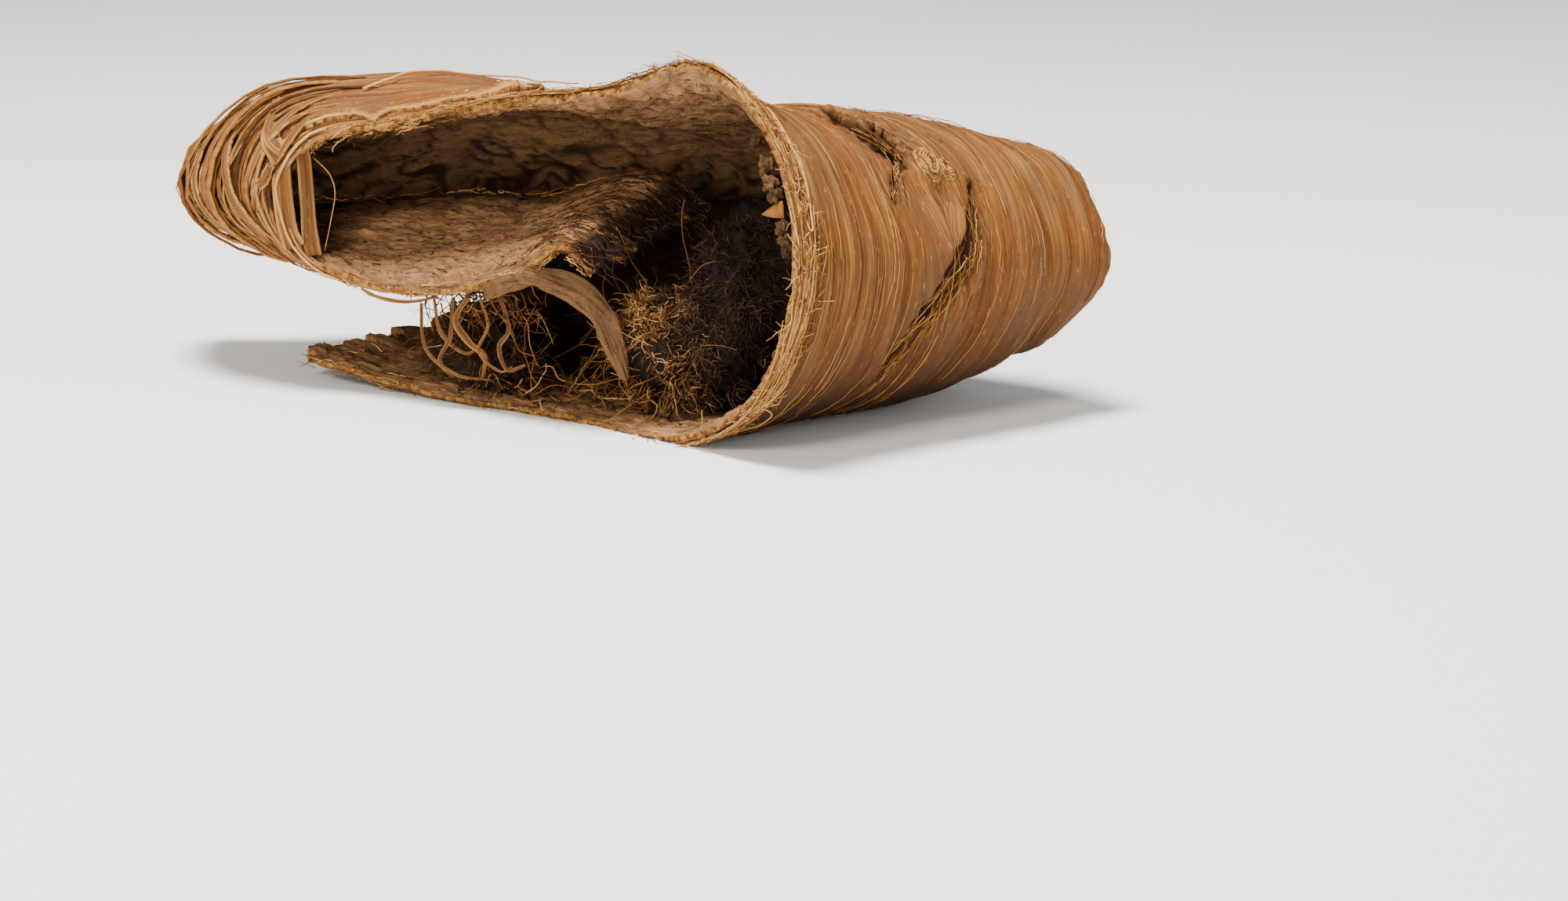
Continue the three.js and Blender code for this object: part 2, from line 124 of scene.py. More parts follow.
def smooth_curve(points, at):
    """Points on the smooth curve through a list of points; at counts along the list."""
    points = np.asarray(points, float)
    count = len(points) - 1
    padded = np.vstack([2 * points[0] - points[1], points, 2 * points[-1] - points[-2]])
    at = np.clip(np.asarray(at, float), 0, count)
    k = np.minimum(np.floor(at).astype(int), count - 1)
    w = (at - k)[..., None]
    p0, p1, p2, p3 = padded[k], padded[k + 1], padded[k + 2], padded[k + 3]

    def root_gap(a, b):
        return np.maximum(np.linalg.norm(b - a, axis=-1, keepdims=True) ** 0.5, 1e-4)

    g0, g1, g2 = root_gap(p0, p1), root_gap(p1, p2), root_gap(p2, p3)
    leave = ((p1 - p0) / g0 - (p2 - p0) / (g0 + g1) + (p2 - p1) / g1) * g1
    arrive = ((p2 - p1) / g1 - (p3 - p1) / (g1 + g2) + (p3 - p2) / g2) * g1
    square = -3 * p1 + 3 * p2 - 2 * leave - arrive
    cube = 2 * p1 - 2 * p2 + leave + arrive
    return p1 + leave * w + square * w**2 + cube * w**3


def curve_through(marks, stops):
    """Even steps along the smooth curve through a short list of marks."""
    return smooth_curve(marks, np.linspace(0, len(marks) - 1, stops))


def station_value(values, at):
    """A station's number, eased from one station to the next."""
    k = np.minimum(np.floor(at).astype(int), LAST - 1)
    share = np.clip(at - k, 0, 1)
    share = share * share * (3 - 2 * share)
    return values[k] * (1 - share) + values[k + 1] * share


# %% Find places on the strip
def flat_point(at, across):
    """A point on the straight line between the rims."""
    at = np.clip(at, 0, LAST)
    across = across[..., None]
    return smooth_curve(NEAR_RIM, at) * (1 - across) + smooth_curve(FAR_RIM, at) * across


def directions(point_at, at, across):
    """The directions along the strip, across it and out of its smooth face."""
    step, share = 0.02, 0.01
    ahead, behind = np.minimum(at + step, LAST), np.maximum(at - step, 0)
    along = unit(point_at(ahead, across) - point_at(behind, across))
    side = unit(point_at(at, across + share) - point_at(at, across - share))
    return along, side, unit(np.cross(side, along))


def middle_point(at, across):
    """A point on the middle of the sheet, with the bow, the dip and the curl of its width."""
    out = directions(flat_point, at, across)[2]
    crown = station_value(CROWN, at) * 4 * across * (1 - across)
    rise = np.maximum(0, 1 - across / DIP_REACH) ** 2
    dip = station_value(DIP, at) * (1 - across - rise)
    curl = station_value(CURL, at) * np.maximum(0, (across - CURL_START) / (1 - CURL_START)) ** 2
    return flat_point(at, across) + out * (crown - dip - curl)[..., None]


def place(at, across, height):
    """Points that stand a height out of the middle surface, and the surface's directions there."""
    at, across, height = np.broadcast_arrays(*(np.asarray(v, float) for v in (at, across, height)))
    along, side, out = directions(middle_point, at, across)
    return middle_point(at, across) + out * height[..., None], along, side, out


# %% Measure along the strip
STEPS = np.linspace(0, LAST, LAST * 8 + 1)
half_way = np.full_like(STEPS, 0.5)
step_lengths = np.linalg.norm(np.diff(flat_point(STEPS, half_way), axis=0), axis=1)
LENGTHS = np.concatenate([[0], np.cumsum(step_lengths)])


def length_at(at):
    """How far along the middle of the strip a station number is, in millimetres."""
    return np.interp(at, STEPS, LENGTHS)


def station_at(length):
    """The station number at a length along the strip, in millimetres."""
    return np.interp(length, LENGTHS, STEPS)


def width_at(at):
    """The width of the strip at a station number, in millimetres."""
    at = np.asarray(at, float)
    return np.linalg.norm(flat_point(at, np.ones_like(at)) - flat_point(at, np.zeros_like(at)), axis=-1)


print("unrolled, the strip is", round(LENGTHS[-1]), "mm long and", round(float(width_at(5))), "mm wide")


# %% [markdown]
# ## Relief
#
# Dried bast is ribbed by its bundles of fibre, and the crust is cracked and grainy. Both are
# written as heights over the surface, from one smooth noise. Stretching the noise along the strip
# turns grains into fibres. The same noise made the plain solid's broad ridges, so the finer ones
# here ride on those.

# %% Make one smooth noise
def lattice_value(i, j):
    """A value between -1 and 1 for each point of a square lattice, with no pattern to be seen."""
    wave = np.sin(i * 127.1 + j * 311.7) * 43758.5453
    return 2 * (wave - np.floor(wave)) - 1


def noise(x, y):
    """Smooth noise between -1 and 1, from fixed values on a square lattice."""
    x, y = np.broadcast_arrays(np.asarray(x, float), np.asarray(y, float))
    i, j = np.floor(x), np.floor(y)
    fx, fy = x - i, y - j
    fx, fy = fx * fx * (3 - 2 * fx), fy * fy * (3 - 2 * fy)
    low = lattice_value(i, j) * (1 - fx) + lattice_value(i + 1, j) * fx
    high = lattice_value(i, j + 1) * (1 - fx) + lattice_value(i + 1, j + 1) * fx
    return low * (1 - fy) + high * fy


# %% Measure from a cut
KNOT = {"at": 6.03, "across": 0.49, "radius": 4.0, "height": 1.5}
GASH = {
    "path": [(5.85, 0.61), (5.31, 0.56), (4.97, 0.51), (4.63, 0.45), (4.36, 0.41), (3.95, 0.36)],
    "half": 3.1, "depth": 2.1,
}
TEAR = {"path": [(7, 0.44), (6.8, 0.42), (6.55, 0.43), (6.3, 0.43), (6.1, 0.42)], "half": 6.2, "depth": 1.6}
SLIT = {"path": [(6.8, 0.59), (6.6, 0.6), (6.4, 0.62)], "half": 0.7, "depth": 1.2}
SPLIT = {"path": [(6.2, 0.43), (5.95, 0.39), (5.65, 0.35)], "half": 0.8, "depth": 1.5}
SMOOTH_CUTS = (GASH, TEAR, SPLIT, SLIT)  # into the smooth face
CRACKS = [  # into the rough face
    {"path": [(9.1, 0.03), (9, 0.3), (9.15, 0.5), (9.05, 0.75)], "half": 1.1, "depth": 1.5},
    {"path": [(9.1, 0.55), (8.7, 0.62), (8.2, 0.6), (7.7, 0.66)], "half": 0.8, "depth": 1.3},
    {"path": [(2.9, 0.12), (2.3, 0.18), (1.7, 0.15)], "half": 0.7, "depth": 1.2},
]


def flat_place(at, across):
    """A place on the unrolled strip, in millimetres along and across."""
    at = np.asarray(at, float)
    return np.stack([length_at(at), np.asarray(across) * width_at(at)], axis=-1)


def closeness(cut, at, across):
    """1 along the middle of a cut, 0 at its lips and below 0 outside, tapered to its ends."""
    places = flat_place(at, across)
    path = flat_place([p[0] for p in cut["path"]], np.array([p[1] for p in cut["path"]]))
    best = np.full(np.shape(at), -9.0)  # far outside
    for k in range(len(path) - 1):
        run = path[k + 1] - path[k]
        share = np.clip(((places - path[k]) @ run) / (run @ run), 0, 1)
        gap = np.linalg.norm(places - path[k] - share[..., None] * run, axis=-1)
        done = (k + share) / (len(path) - 1)
        half = cut["half"] * (0.25 + 0.75 * np.sin(np.pi * (0.05 + 0.9 * done)))
        ragged = 1 + 0.3 * noise(places[..., 0] / 1.7, places[..., 1] / 1.3)
        best = np.maximum(best, 1 - gap / (half * ragged))
    return best


# %% Raise the smooth face and the rough face
def from_knot(at, across):
    """How far a place is from the knot, along and across the strip, in millimetres."""
    return length_at(at) - length_at(KNOT["at"]), (across - KNOT["across"]) * width_at(at)


def fibre_shift(at, across):
    """How far the knot and their own wander push the fibres aside, as a share of the width."""
    along, aside = from_knot(at, across)
    reach = np.exp(-(along**2 + aside**2) / 160)
    wander = 0.012 * noise(length_at(at) / 34, across * 5 + 2)
    wander = wander + 0.004 * noise(length_at(at) / 12, across * 11)
    return wander - 4.2 * np.sign(aside) * reach / width_at(at)


def fold_gap(at, across):
    """1 in the gaps between the strands of the broken fold at the left, 0 elsewhere."""
    reach = np.clip(1.5 - np.abs(at - 12.1), 0, 1)
    strand = across + fibre_shift(at, across)
    line = 0.8 * noise(length_at(at) / 45, strand * 19 + 4)
    line = line + 0.45 * noise(length_at(at) / 30, strand * 47 + 9)
    more_by_the_rim = 0.2 * np.exp(-across / 0.16)
    return reach * np.clip((line + 0.06 + more_by_the_rim) * 4, 0, 1)


def smooth_height(at, across):
    """Height of the smooth face over the middle of the sheet: ridges, fibres, the knot and the cuts."""
    long = length_at(at)
    along, aside = from_knot(at, across)
    knot_far = np.hypot(along, aside)
    part = 0.05 * np.sign(aside) * np.exp(-(knot_far**2) / 400)
    drift = 0.5 * noise(long / 60, across * 3)
    broad = 0.6 * noise(long / 50, (across - part) * 15 + drift) + 0.35 * noise(long / 24, across * 5 + 9)
    strand = across + fibre_shift(at, across)
    fine = 0.2 * noise(long / 40, strand * 42) + 0.13 * noise(long / 25 + 7, strand * 88)
    dome = KNOT["height"] * np.exp(-(knot_far**2) / (2 * KNOT["radius"] ** 2))
    knot = dome * np.cos(1.1 * knot_far / KNOT["radius"])
    height = THICKNESS / 2 + broad + fine + knot - 1.3 * fold_gap(at, across)
    for cut in SMOOTH_CUTS:
        near = closeness(cut, at, across)
        lip = 0.5 * np.exp(-((near + 0.35) ** 2) / 0.06)
        height = height - cut["depth"] * np.clip(near * 1.6, 0, 1) + lip
    return height


def crust_cracks(at, across):
    """1 in the narrow cracks between plates of crust, 0 on the plates."""
    long, aside = length_at(at), across * width_at(at)
    bend = 2.2 * noise(long / 9, aside / 7)
    wide = np.abs(noise(long / 6.5, (aside + bend) / 2.4))
    narrow = np.abs(noise(long / 3.4 + 9, (aside + bend) / 1.4))
    return np.maximum(1 - wide / 0.22, 0.7 - narrow / 0.25).clip(0, 1)


def rough_height(at, across):
    """Height of the rough face, which lies under the middle of the sheet: crust, grain and cracks."""
    x, y = length_at(at) / 7, across * 10
    crust = 0.6 * (0.7 * noise(x, y) + 0.5 * noise(x * 2 + 5, y * 2 + 3))
    grain = 0.25 * noise(x * 3.4, y * 7) + 0.16 * np.abs(noise(x * 5, y * 15 + 4))
    height = -THICKNESS / 2 - 0.15 + crust + grain + 0.65 * crust_cracks(at, across)
    for crack in CRACKS:
        height = height + crack["depth"] * np.clip(closeness(crack, at, across) * 1.5, 0, 1)
    return height


print("relief ready:", len(SMOOTH_CUTS), "cuts in the smooth face,", len(CRACKS), "cracks in the rough face")


# %% [markdown]
# ## Helpers that turn points into pieces
#
# Every piece is made from arrays of points in millimetres, moved into the frame and written into
# a mesh. Three numbers go with each point, because a material needs to know where on the unrolled
# strip it is: `strip` holds the place along and across, `pale` says how bleached and torn it is,
# and `shade` how dark it is. On the strip most of that darkness is painted shade, in hollows, gaps,
# cracks and underneath; on fibres and crumbs it is mostly their own darker tint.

# %% Write a piece
def make_piece(name, points, faces, materials, strip, pale, shade, material_index=None):
    """One mesh on the bark's body, from points in millimetres among the stations."""
    mesh = bpy.data.meshes.new(name)
    points, strip = np.reshape(points, (-1, 3)), np.reshape(strip, (-1, 3))
    pale, shade = np.reshape(pale, -1), np.reshape(shade, -1)
    if isinstance(faces, np.ndarray):  # leave out the points that no face uses
        used, corners = np.unique(faces, return_inverse=True)
        faces = corners.reshape(faces.shape)
        points, strip, pale, shade = points[used], strip[used], pale[used], shade[used]
    moved = (points - ORIGIN) * MM
    moved[:, 2] = np.maximum(moved[:, 2], 0.0)  # nothing goes below the ground
    mesh.from_pydata(moved.tolist(), [], faces if isinstance(faces, list) else faces.tolist())
    mesh.polygons.foreach_set("use_smooth", np.ones(len(mesh.polygons), bool))
    for material in materials:
        mesh.materials.append(material)
    if material_index is not None:
        mesh.polygons.foreach_set("material_index", material_index)
    where = mesh.attributes.new("strip", "FLOAT_VECTOR", "POINT")
    where.data.foreach_set("vector", strip.ravel().astype(np.float32))
    for label, values in (("pale", pale), ("shade", shade)):
        layer = mesh.attributes.new(label, "FLOAT", "POINT")
        layer.data.foreach_set("value", values.astype(np.float32))
    mesh.update()
    piece = bpy.data.objects.new(name, mesh)
    bpy.context.scene.collection.objects.link(piece)
    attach(piece, "root")
    triangles = sum(len(p.vertices) - 2 for p in mesh.polygons)
    print(name, "has", triangles, "triangles")
    return piece


# %% Sweep fibres along paths
def sweep(paths, outs, half, thick, corners):
    """Closed tubes along many paths at once. paths and outs are fibres x points x 3; half and thick
    are the section's half width and half thickness at each point."""
    fibres, stops = paths.shape[:2]
    heading = unit(np.gradient(paths, axis=1))
    side = unit(np.cross(heading, outs))
    out = np.cross(side, heading)
    turn = 2 * np.pi * (np.arange(corners) + 0.5) / corners
    points = (
        paths[:, :, None]
        + side[:, :, None] * (half[..., None] * np.cos(turn))[..., None]
        + out[:, :, None] * (thick[..., None] * np.sin(turn))[..., None]
    )
    first = (np.arange(fibres)[:, None, None] * stops + np.arange(stops - 1)[None, :, None]) * corners
    a = first + np.arange(corners)
    b = first + (np.arange(corners) + 1) % corners
    quads = np.stack([a, a + corners, b + corners, b], axis=-1).reshape(-1, 4)
    start = np.arange(fibres)[:, None] * stops * corners + np.arange(corners)
    end = np.arange(fibres)[:, None] * stops * corners + (stops - 1) * corners + np.arange(corners)[::-1]
    return points.reshape(-1, 3), quads.tolist() + start.tolist() + end.tolist()


def taper(stops, tip):
    """A fibre's thickness along its length, as a share of the thickness at its root."""
    share = np.linspace(0, 1, stops)
    return 1 + (tip - 1) * share**1.5


TINT_APART = 97  # fibres of different tints lie this many millimetres apart in the grain


def fibre_piece(name, paths, outs, half, thick, material, tint, corners):
    """Many fibres as one piece; tint, between 0 and 1, is each fibre's own shade."""
    points, faces = sweep(paths, outs, half, thick, corners)
    lengths = np.linalg.norm(np.diff(paths, axis=1), axis=-1)
    run = np.concatenate([np.zeros((len(paths), 1)), np.cumsum(lengths, 1)], 1)
    tint = np.broadcast_to(tint[:, None], run.shape)
    strip = np.stack([run, tint * TINT_APART, np.zeros_like(run)], -1) * MM
    strip, shade = (np.repeat(v[:, :, None], corners, axis=2) for v in (strip, tint))
    return make_piece(name, points, faces, [material], strip, np.zeros_like(shade), shade)


def lone_fibre(name, path, out, half, tip, material, tint):
    """One fibre along a path, thinner towards its tip."""
    thick = half * taper(len(path), tip)[None, :]
    fibre_piece(name, path[None], out[None], thick, thick, material, np.array([tint]), corners=5)


print("helpers ready")


# %% [markdown]
# ## Materials
#
# Bark has no single colour. Each finish starts from noise stretched along the strip, so that its
# streaks follow the fibres round every bend, and a ramp turns that into the browns of dry bast.
# Paler and darker zones come from the numbers stored on the points. A little node builder keeps
# each finish short to read.

# %% Write a small node builder
class Finish:
    """A material's node tree, with short ways to add the nodes that bark needs."""

    def __init__(self, name, roughness, specular):
        self.material = bpy.data.materials.new(name)
        self.material.use_nodes = True
        self.nodes, self.links = self.material.node_tree.nodes, self.material.node_tree.links
        self.shader = self.nodes["Principled BSDF"]
        self.shader.inputs["Roughness"].default_value = roughness
        self.shader.inputs["Specular IOR Level"].default_value = specular

    def link(self, source, target):
        """Joins an output to an input."""
        self.links.new(source, target)

    def stored(self, label, output="Fac"):
        """A value that is stored on the points."""
        node = self.nodes.new("ShaderNodeAttribute")
        node.attribute_name = label
        return node.outputs[output]

    def stretched(self, scale, offset):
        """The place on the unrolled strip, scaled along and across."""
        node = self.nodes.new("ShaderNodeMapping")
        node.inputs["Scale"].default_value = scale
        node.inputs["Location"].default_value = offset
        self.link(self.stored("strip", "Vector"), node.inputs["Vector"])
        return node.outputs["Vector"]

    def grain(self, scale, detail, roughness=0.6, offset=(0, 0, 0), distortion=0.0):
        """Grain that is stretched along the strip."""
        return self.noise_node(self.stretched(scale, offset), 1.0, detail, roughness, distortion)

    def speckle(self, scale):
        """Grain of equal size every way, for faces that have no fibre direction of their own."""
        place = self.nodes.new("ShaderNodeTexCoord").outputs["Object"]
        return self.noise_node(place, scale, 5.0, 0.7)

    def noise_node(self, place, scale, detail, roughness, distortion=0.0):
        """Noise between 0 and 1, read at a place."""
        node = self.nodes.new("ShaderNodeTexNoise")
        values = {"Scale": scale, "Detail": detail, "Roughness": roughness, "Distortion": distortion}
        for label, value in values.items():
            node.inputs[label].default_value = value
        self.link(place, node.inputs["Vector"])
        return node.outputs["Fac"]

    def ramp(self, source, stops):
        """Colours for the numbers from 0 to 1."""
        node = self.nodes.new("ShaderNodeValToRGB")
        while len(node.color_ramp.elements) < len(stops):
            node.color_ramp.elements.new(0.5)
        for element, (position, colour) in zip(node.color_ramp.elements, stops):
            element.position = position
            element.color = (*colour, 1)
        self.link(source, node.inputs["Fac"])
        return node.outputs["Color"]

    def number(self, source, low, high):
        """0 at one value of the source and 1 at another."""
        node = self.nodes.new("ShaderNodeMapRange")
        node.inputs["From Min"].default_value = low
        node.inputs["From Max"].default_value = high
        self.link(source, node.inputs["Value"])
        return node.outputs["Result"]

    def maths(self, operation, a, b):
        """One sum, of sockets or plain numbers."""
        node = self.nodes.new("ShaderNodeMath")
        node.operation = operation
        for socket, value in zip(node.inputs, (a, b)):
            if isinstance(value, (int, float)):
                socket.default_value = value
            else:
                self.link(value, socket)
        return node.outputs["Value"]

    def mix(self, share, under, over):
        """One colour over another, by a share."""
        node = self.nodes.new("ShaderNodeMix")
        node.data_type = "RGBA"
        sockets = [s for s in node.inputs if s.enabled]
        for socket, value in zip(sockets, (share, under, over)):
            if isinstance(value, tuple):
                socket.default_value = (*value, 1)
            else:
                self.link(value, socket)
        return [s for s in node.outputs if s.enabled][0]

    def add(self, a, b):
        """Two numbers added."""
        return self.maths("ADD", a, b)

    def part(self, source, strength):
        """A number times a strength."""
        return self.maths("MULTIPLY", source, strength)

    def layer(self, share, strength, under, over):
        """One colour over another, by a share of some strength."""
        return self.mix(self.part(share, strength), under, over)

    def bump(self, source, depth, strength, over=None):
        """Relief with a depth in metres, over other relief."""
        node = self.nodes.new("ShaderNodeBump")
        node.inputs["Strength"].default_value = strength
        node.inputs["Distance"].default_value = depth
        self.link(source, node.inputs["Height"])
        if over is not None:
            self.link(over, node.inputs["Normal"])
        return node.outputs["Normal"]

    def complete(self, colour, normal):
        """Joins the colour and the relief to the shader."""
        self.link(colour, self.shader.inputs["Base Color"])
        self.link(normal, self.shader.inputs["Normal"])
        return self.material


# %% [markdown]
# ### Smooth bast
#
# The smooth face is orange tan, with long streaks from dark brown to straw, wide darker patches,
# and small bleached specks where a fibre has lifted. Towards the torn rim it turns straw-pale.

# %% Mix the smooth bast
STRAW = (0.38, 0.185, 0.05)
TAN = (0.185, 0.072, 0.016)
ORANGE = (0.135, 0.044, 0.008)
RUST = (0.145, 0.047, 0.011)
DULL_BROWN = (0.11, 0.06, 0.029)
UMBER = (0.045, 0.017, 0.005)
DARK = (0.02, 0.009, 0.005)


def smooth_bast():
    """Streaks of fibre in four browns, then patches, threads, seams, specks and the torn rim."""
    finish = Finish("smooth_bast", roughness=0.75, specular=0.12)
    broad = finish.grain((28, 420, 1), detail=3)
    fine = finish.grain((40, 1700, 1), detail=5, roughness=0.7)
    hair = finish.grain((60, 4200, 1), detail=3, offset=(3, 7, 0))
    streak = finish.add(finish.part(broad, 0.5), finish.part(fine, 0.5))
    colour = finish.ramp(streak, [(0.37, UMBER), (0.445, ORANGE), (0.52, TAN), (0.65, STRAW)])
    patch = finish.number(finish.grain((20, 42, 1), detail=4, offset=(9, 2, 0)), 0.42, 0.6)
    colour = finish.layer(patch, 0.6, colour, RUST)
    dull = finish.number(finish.grain((55, 130, 1), detail=4, offset=(4, 6, 0)), 0.46, 0.68)
    colour = finish.layer(dull, 0.65, colour, DULL_BROWN)
    colour = finish.layer(finish.number(hair, 0.58, 0.74), 0.4, colour, STRAW)
    colour = finish.layer(finish.number(hair, 0.42, 0.30), 0.6, colour, UMBER)
    speck = finish.number(finish.grain((420, 1500, 1), detail=2, offset=(1, 5, 0)), 0.64, 0.70)
    colour = finish.layer(speck, 0.8, colour, STRAW)
    frayed = finish.add(finish.stored("pale"), finish.part(fine, 0.8))
    colour = finish.mix(finish.number(frayed, 0.75, 1.15), colour, STRAW)
    # painted shade from the stored shade darkens the cuts, the underside, the fold's gaps and the inner end,
    # and the knot's own eye
    colour = finish.mix(finish.stored("shade"), colour, DARK)
    return finish.complete(colour, finish.bump(fine, 0.00045, 0.9, finish.bump(hair, 0.0002, 0.7)))


SMOOTH_BAST = smooth_bast()
print("made", SMOOTH_BAST.name)

# %% [markdown]
# ### Rough crust
#
# The rough face is cracked and grainy: plates of dull brown, from dark to pale, with a finer grain
# over them. Short dark dashes run along the strip, where bundles of fibre show through.

# %% Mix the rough crust
CRUST_DARK = (0.05, 0.026, 0.016)
CRUST_BROWN = (0.29, 0.15, 0.07)
CRUST_PALE = (0.45, 0.242, 0.1)


def rough_crust():
    """Plates, grain and dashes; a bleached rim, and painted shade that darkens the depths."""
    finish = Finish("rough_crust", roughness=0.95, specular=0.05)
    plates = finish.grain((150, 520, 1), detail=7, roughness=0.72, distortion=0.8)
    grain = finish.grain((800, 1500, 1), detail=5, roughness=0.75, offset=(6, 1, 0))
    broad = finish.grain((45, 90, 1), detail=4)
    dash = finish.grain((160, 1500, 1), detail=4, roughness=0.65, offset=(2, 8, 0))
    mixed = finish.add(finish.part(plates, 0.5), finish.part(grain, 0.3))
    mixed = finish.add(mixed, finish.part(broad, 0.2))
    # the dark end of this ramp falls where the plates sink in the relief: partly the crust's own dark, partly
    # painted shade in its hollows
    colour = finish.ramp(mixed, [(0.37, CRUST_DARK), (0.455, CRUST_BROWN), (0.55, CRUST_PALE)])
    bleached = finish.layer(grain, 0.9, CRUST_BROWN, CRUST_PALE)
    colour = finish.mix(finish.stored("pale"), colour, bleached)
    colour = finish.layer(finish.number(dash, 0.42, 0.34), 0.6, colour, CRUST_DARK)
    # painted shade from the stored shade darkens the depths of the scroll and the cracks
    colour = finish.mix(finish.stored("shade"), colour, DARK)
    relief = finish.bump(plates, 0.0016, 1.0, finish.bump(grain, 0.0006, 0.8))
    return finish.complete(colour, finish.bump(dash, 0.0006, 0.7, relief))


ROUGH_CRUST = rough_crust()
print("made", ROUGH_CRUST.name)

# %% [markdown]
# ### Torn edges and loose fibres
#
# Where the strip is torn, its broken fibres are straw-pale and dry. Loose fibres take their own
# tint from straw to brown, and the shreds inside the scroll run from golden to nearly black.

# %% Mix the torn edge and the fibres
def torn_edge():
    """Broken fibre ends, with no direction of their own."""
    finish = Finish("torn_edge", roughness=0.9, specular=0.08)
    fine = finish.speckle(900)
    colour = finish.ramp(fine, [(0.34, UMBER), (0.46, TAN), (0.60, STRAW), (0.74, (0.56, 0.33, 0.12))])
    colour = finish.mix(finish.stored("shade"), colour, CRUST_DARK)
    return finish.complete(colour, finish.bump(fine, 0.0005, 0.9))


def fibre_finish(name, stops):
    """A finish for loose fibres, each with its own tint along a ramp."""
    finish = Finish(name, roughness=0.8, specular=0.1)
    ripple = finish.grain((700, 3000, 1), detail=2)
    own_tint = finish.stored("shade")
    tint = finish.add(own_tint, finish.part(finish.maths("SUBTRACT", ripple, 0.5), 0.5))
    return finish.complete(finish.ramp(tint, stops), finish.bump(ripple, 0.0001, 0.5))


TORN_EDGE = torn_edge()
PALE_FIBRE = fibre_finish("pale_fibre", [(0.0, (0.58, 0.34, 0.12)), (0.4, STRAW), (0.75, TAN), (1.0, ORANGE)])
GOLDEN_FIBRE = fibre_finish("golden_fibre", [
    (0.0, (0.44, 0.24, 0.085)), (0.35, TAN), (0.7, UMBER), (1.0, (0.03, 0.013, 0.007)),
])
# the near-black end of dark_fibre is partly painted shade, for fibre deep in the scroll
DARK_FIBRE = fibre_finish("dark_fibre", [
    (0.0, (0.09, 0.043, 0.021)), (0.4, (0.028, 0.014, 0.009)), (1.0, (0.009, 0.005, 0.003)),
])
print("made", TORN_EDGE.name, PALE_FIBRE.name, GOLDEN_FIBRE.name, DARK_FIBRE.name)

# %% [markdown]
# ## The strip
#
# The strip is a closed sheet: one grid of points for the smooth face, one for the rough face, and
# between them a broken edge with a middle row that stands out unevenly. The grid is finer across
# than along, because the fibres run along. Its rims and ends wander in and out as torn bark does.

# %% Lay out the grids
SEAM = 11.9  # the strip is made in two pieces that meet under the strands of the left fold
RIM_TAPER = 4.5  # millimetres from each rim over which the sheet thins
RIM_THICKNESS = 0.75
USUAL_WIDTH = 76


def torn_grid(first_at, last_at, rows, columns):
    """Station number and share of the width for each point of a grid, with torn rims and ends."""
    lengths = np.linspace(length_at(first_at), length_at(last_at), rows)
    row_at = station_at(lengths)
    column = np.linspace(0, 1, columns)
    column = column - 0.35 * np.sin(2 * np.pi * column) / (2 * np.pi)  # closer together by the rims

    def end_tear(seed):
        return 0.16 * (1 + noise(column * 20, seed)) + 0.03 * noise(column * 50, seed + 3)

    def rim_tear(seed):
        torn = station_value(TORN, row_at) / USUAL_WIDTH
        notches = 0.45 / USUAL_WIDTH * noise(lengths / 2.1 + seed, 5)
        return (0.5 * torn * (1 + noise(lengths / 6 + seed, 0)) + notches)[:, None]

    start_in = end_tear(70) if first_at == 0 else 0 * column
    last_in = end_tear(90) if last_at == LAST else 0 * column
    done = (row_at - first_at) / (last_at - first_at)
    at = first_at + start_in + done[:, None] * (last_at - first_at - start_in - last_in)[None, :]
    first, last = rim_tear(3), rim_tear(40)
    return at, first + (1 - first - last) * column[None, :]


def sheet_heights(at, across):
    """Heights of the smooth and the rough face, with the sheet thinned towards its rims and ends."""
    width, length = width_at(at), length_at(at)
    to_rim = np.minimum(across, 1 - across) * width
    to_end = np.minimum(length, LENGTHS[-1] - length)
    thick = np.clip(np.minimum(to_rim, to_end) / RIM_TAPER, 0, 1) ** 0.7
    smooth = smooth_height(at, across) - 0.35 * (1 - thick)
    rough = rough_height(at, across) * thick + (smooth - RIM_THICKNESS) * (1 - thick)
    return smooth, np.minimum(rough, smooth - 0.5)


def torn_open(at, across):
    """True where the sheet is torn right through: the hole, and gaps between the strands of the fold."""
    in_fold = (across > 0.01) & (across < 0.9) & (at > 11.0) & (at < 13.3)
    return (closeness(TEAR, at, across) > 0.25) | (in_fold & (fold_gap(at, across) > 0.6))


def cell_middles(values):
    """The mean of each cell's four corners."""
    return (values[1:, 1:] + values[:-1, 1:] + values[1:, :-1] + values[:-1, :-1]) / 4


print("the sheet thins to", RIM_THICKNESS, "mm at its rims")


# %% Close the sheet and colour its zones
def rim_loop(grid):
    """The points round the border of a grid, in order."""
    return np.concatenate([grid[:-1, 0], grid[-1, :-1], grid[:0:-1, -1], grid[0, :0:-1]])


def grid_quads(rows, columns, first, flip):
    """Quads of a grid of points that are numbered from a first one; flip turns them over."""
    i, j = np.meshgrid(np.arange(rows - 1), np.arange(columns - 1), indexing="ij")
    a = (first + i * columns + j).ravel()
    quad = np.stack([a, a + 1, a + columns + 1, a + columns], -1)
    return quad[:, ::-1] if flip else quad


CELL_SIDES = (
    # the step to the cell beside, and the two corners of the side between them
    ((0, 1), (0, 1), (1, 1)),
    ((0, -1), (1, 0), (0, 0)),
    ((1, 0), (1, 1), (1, 0)),
    ((-1, 0), (0, 0), (0, 1)),
)


def hole_walls(hole, columns, below):
    """Quads that join the two faces round each group of removed cells."""
    pad = np.pad(hole, 1)
    walls = []
    for (di, dj), start, end in CELL_SIDES:
        beside = pad[1 + di:pad.shape[0] - 1 + di, 1 + dj:pad.shape[1] - 1 + dj]
        i, j = np.nonzero(hole & ~beside)
        first = (i + start[0]) * columns + j + start[1]
        second = (i + end[0]) * columns + j + end[1]
        walls.append(np.stack([first, second, second + below, first + below], -1))
    return np.concatenate(walls)


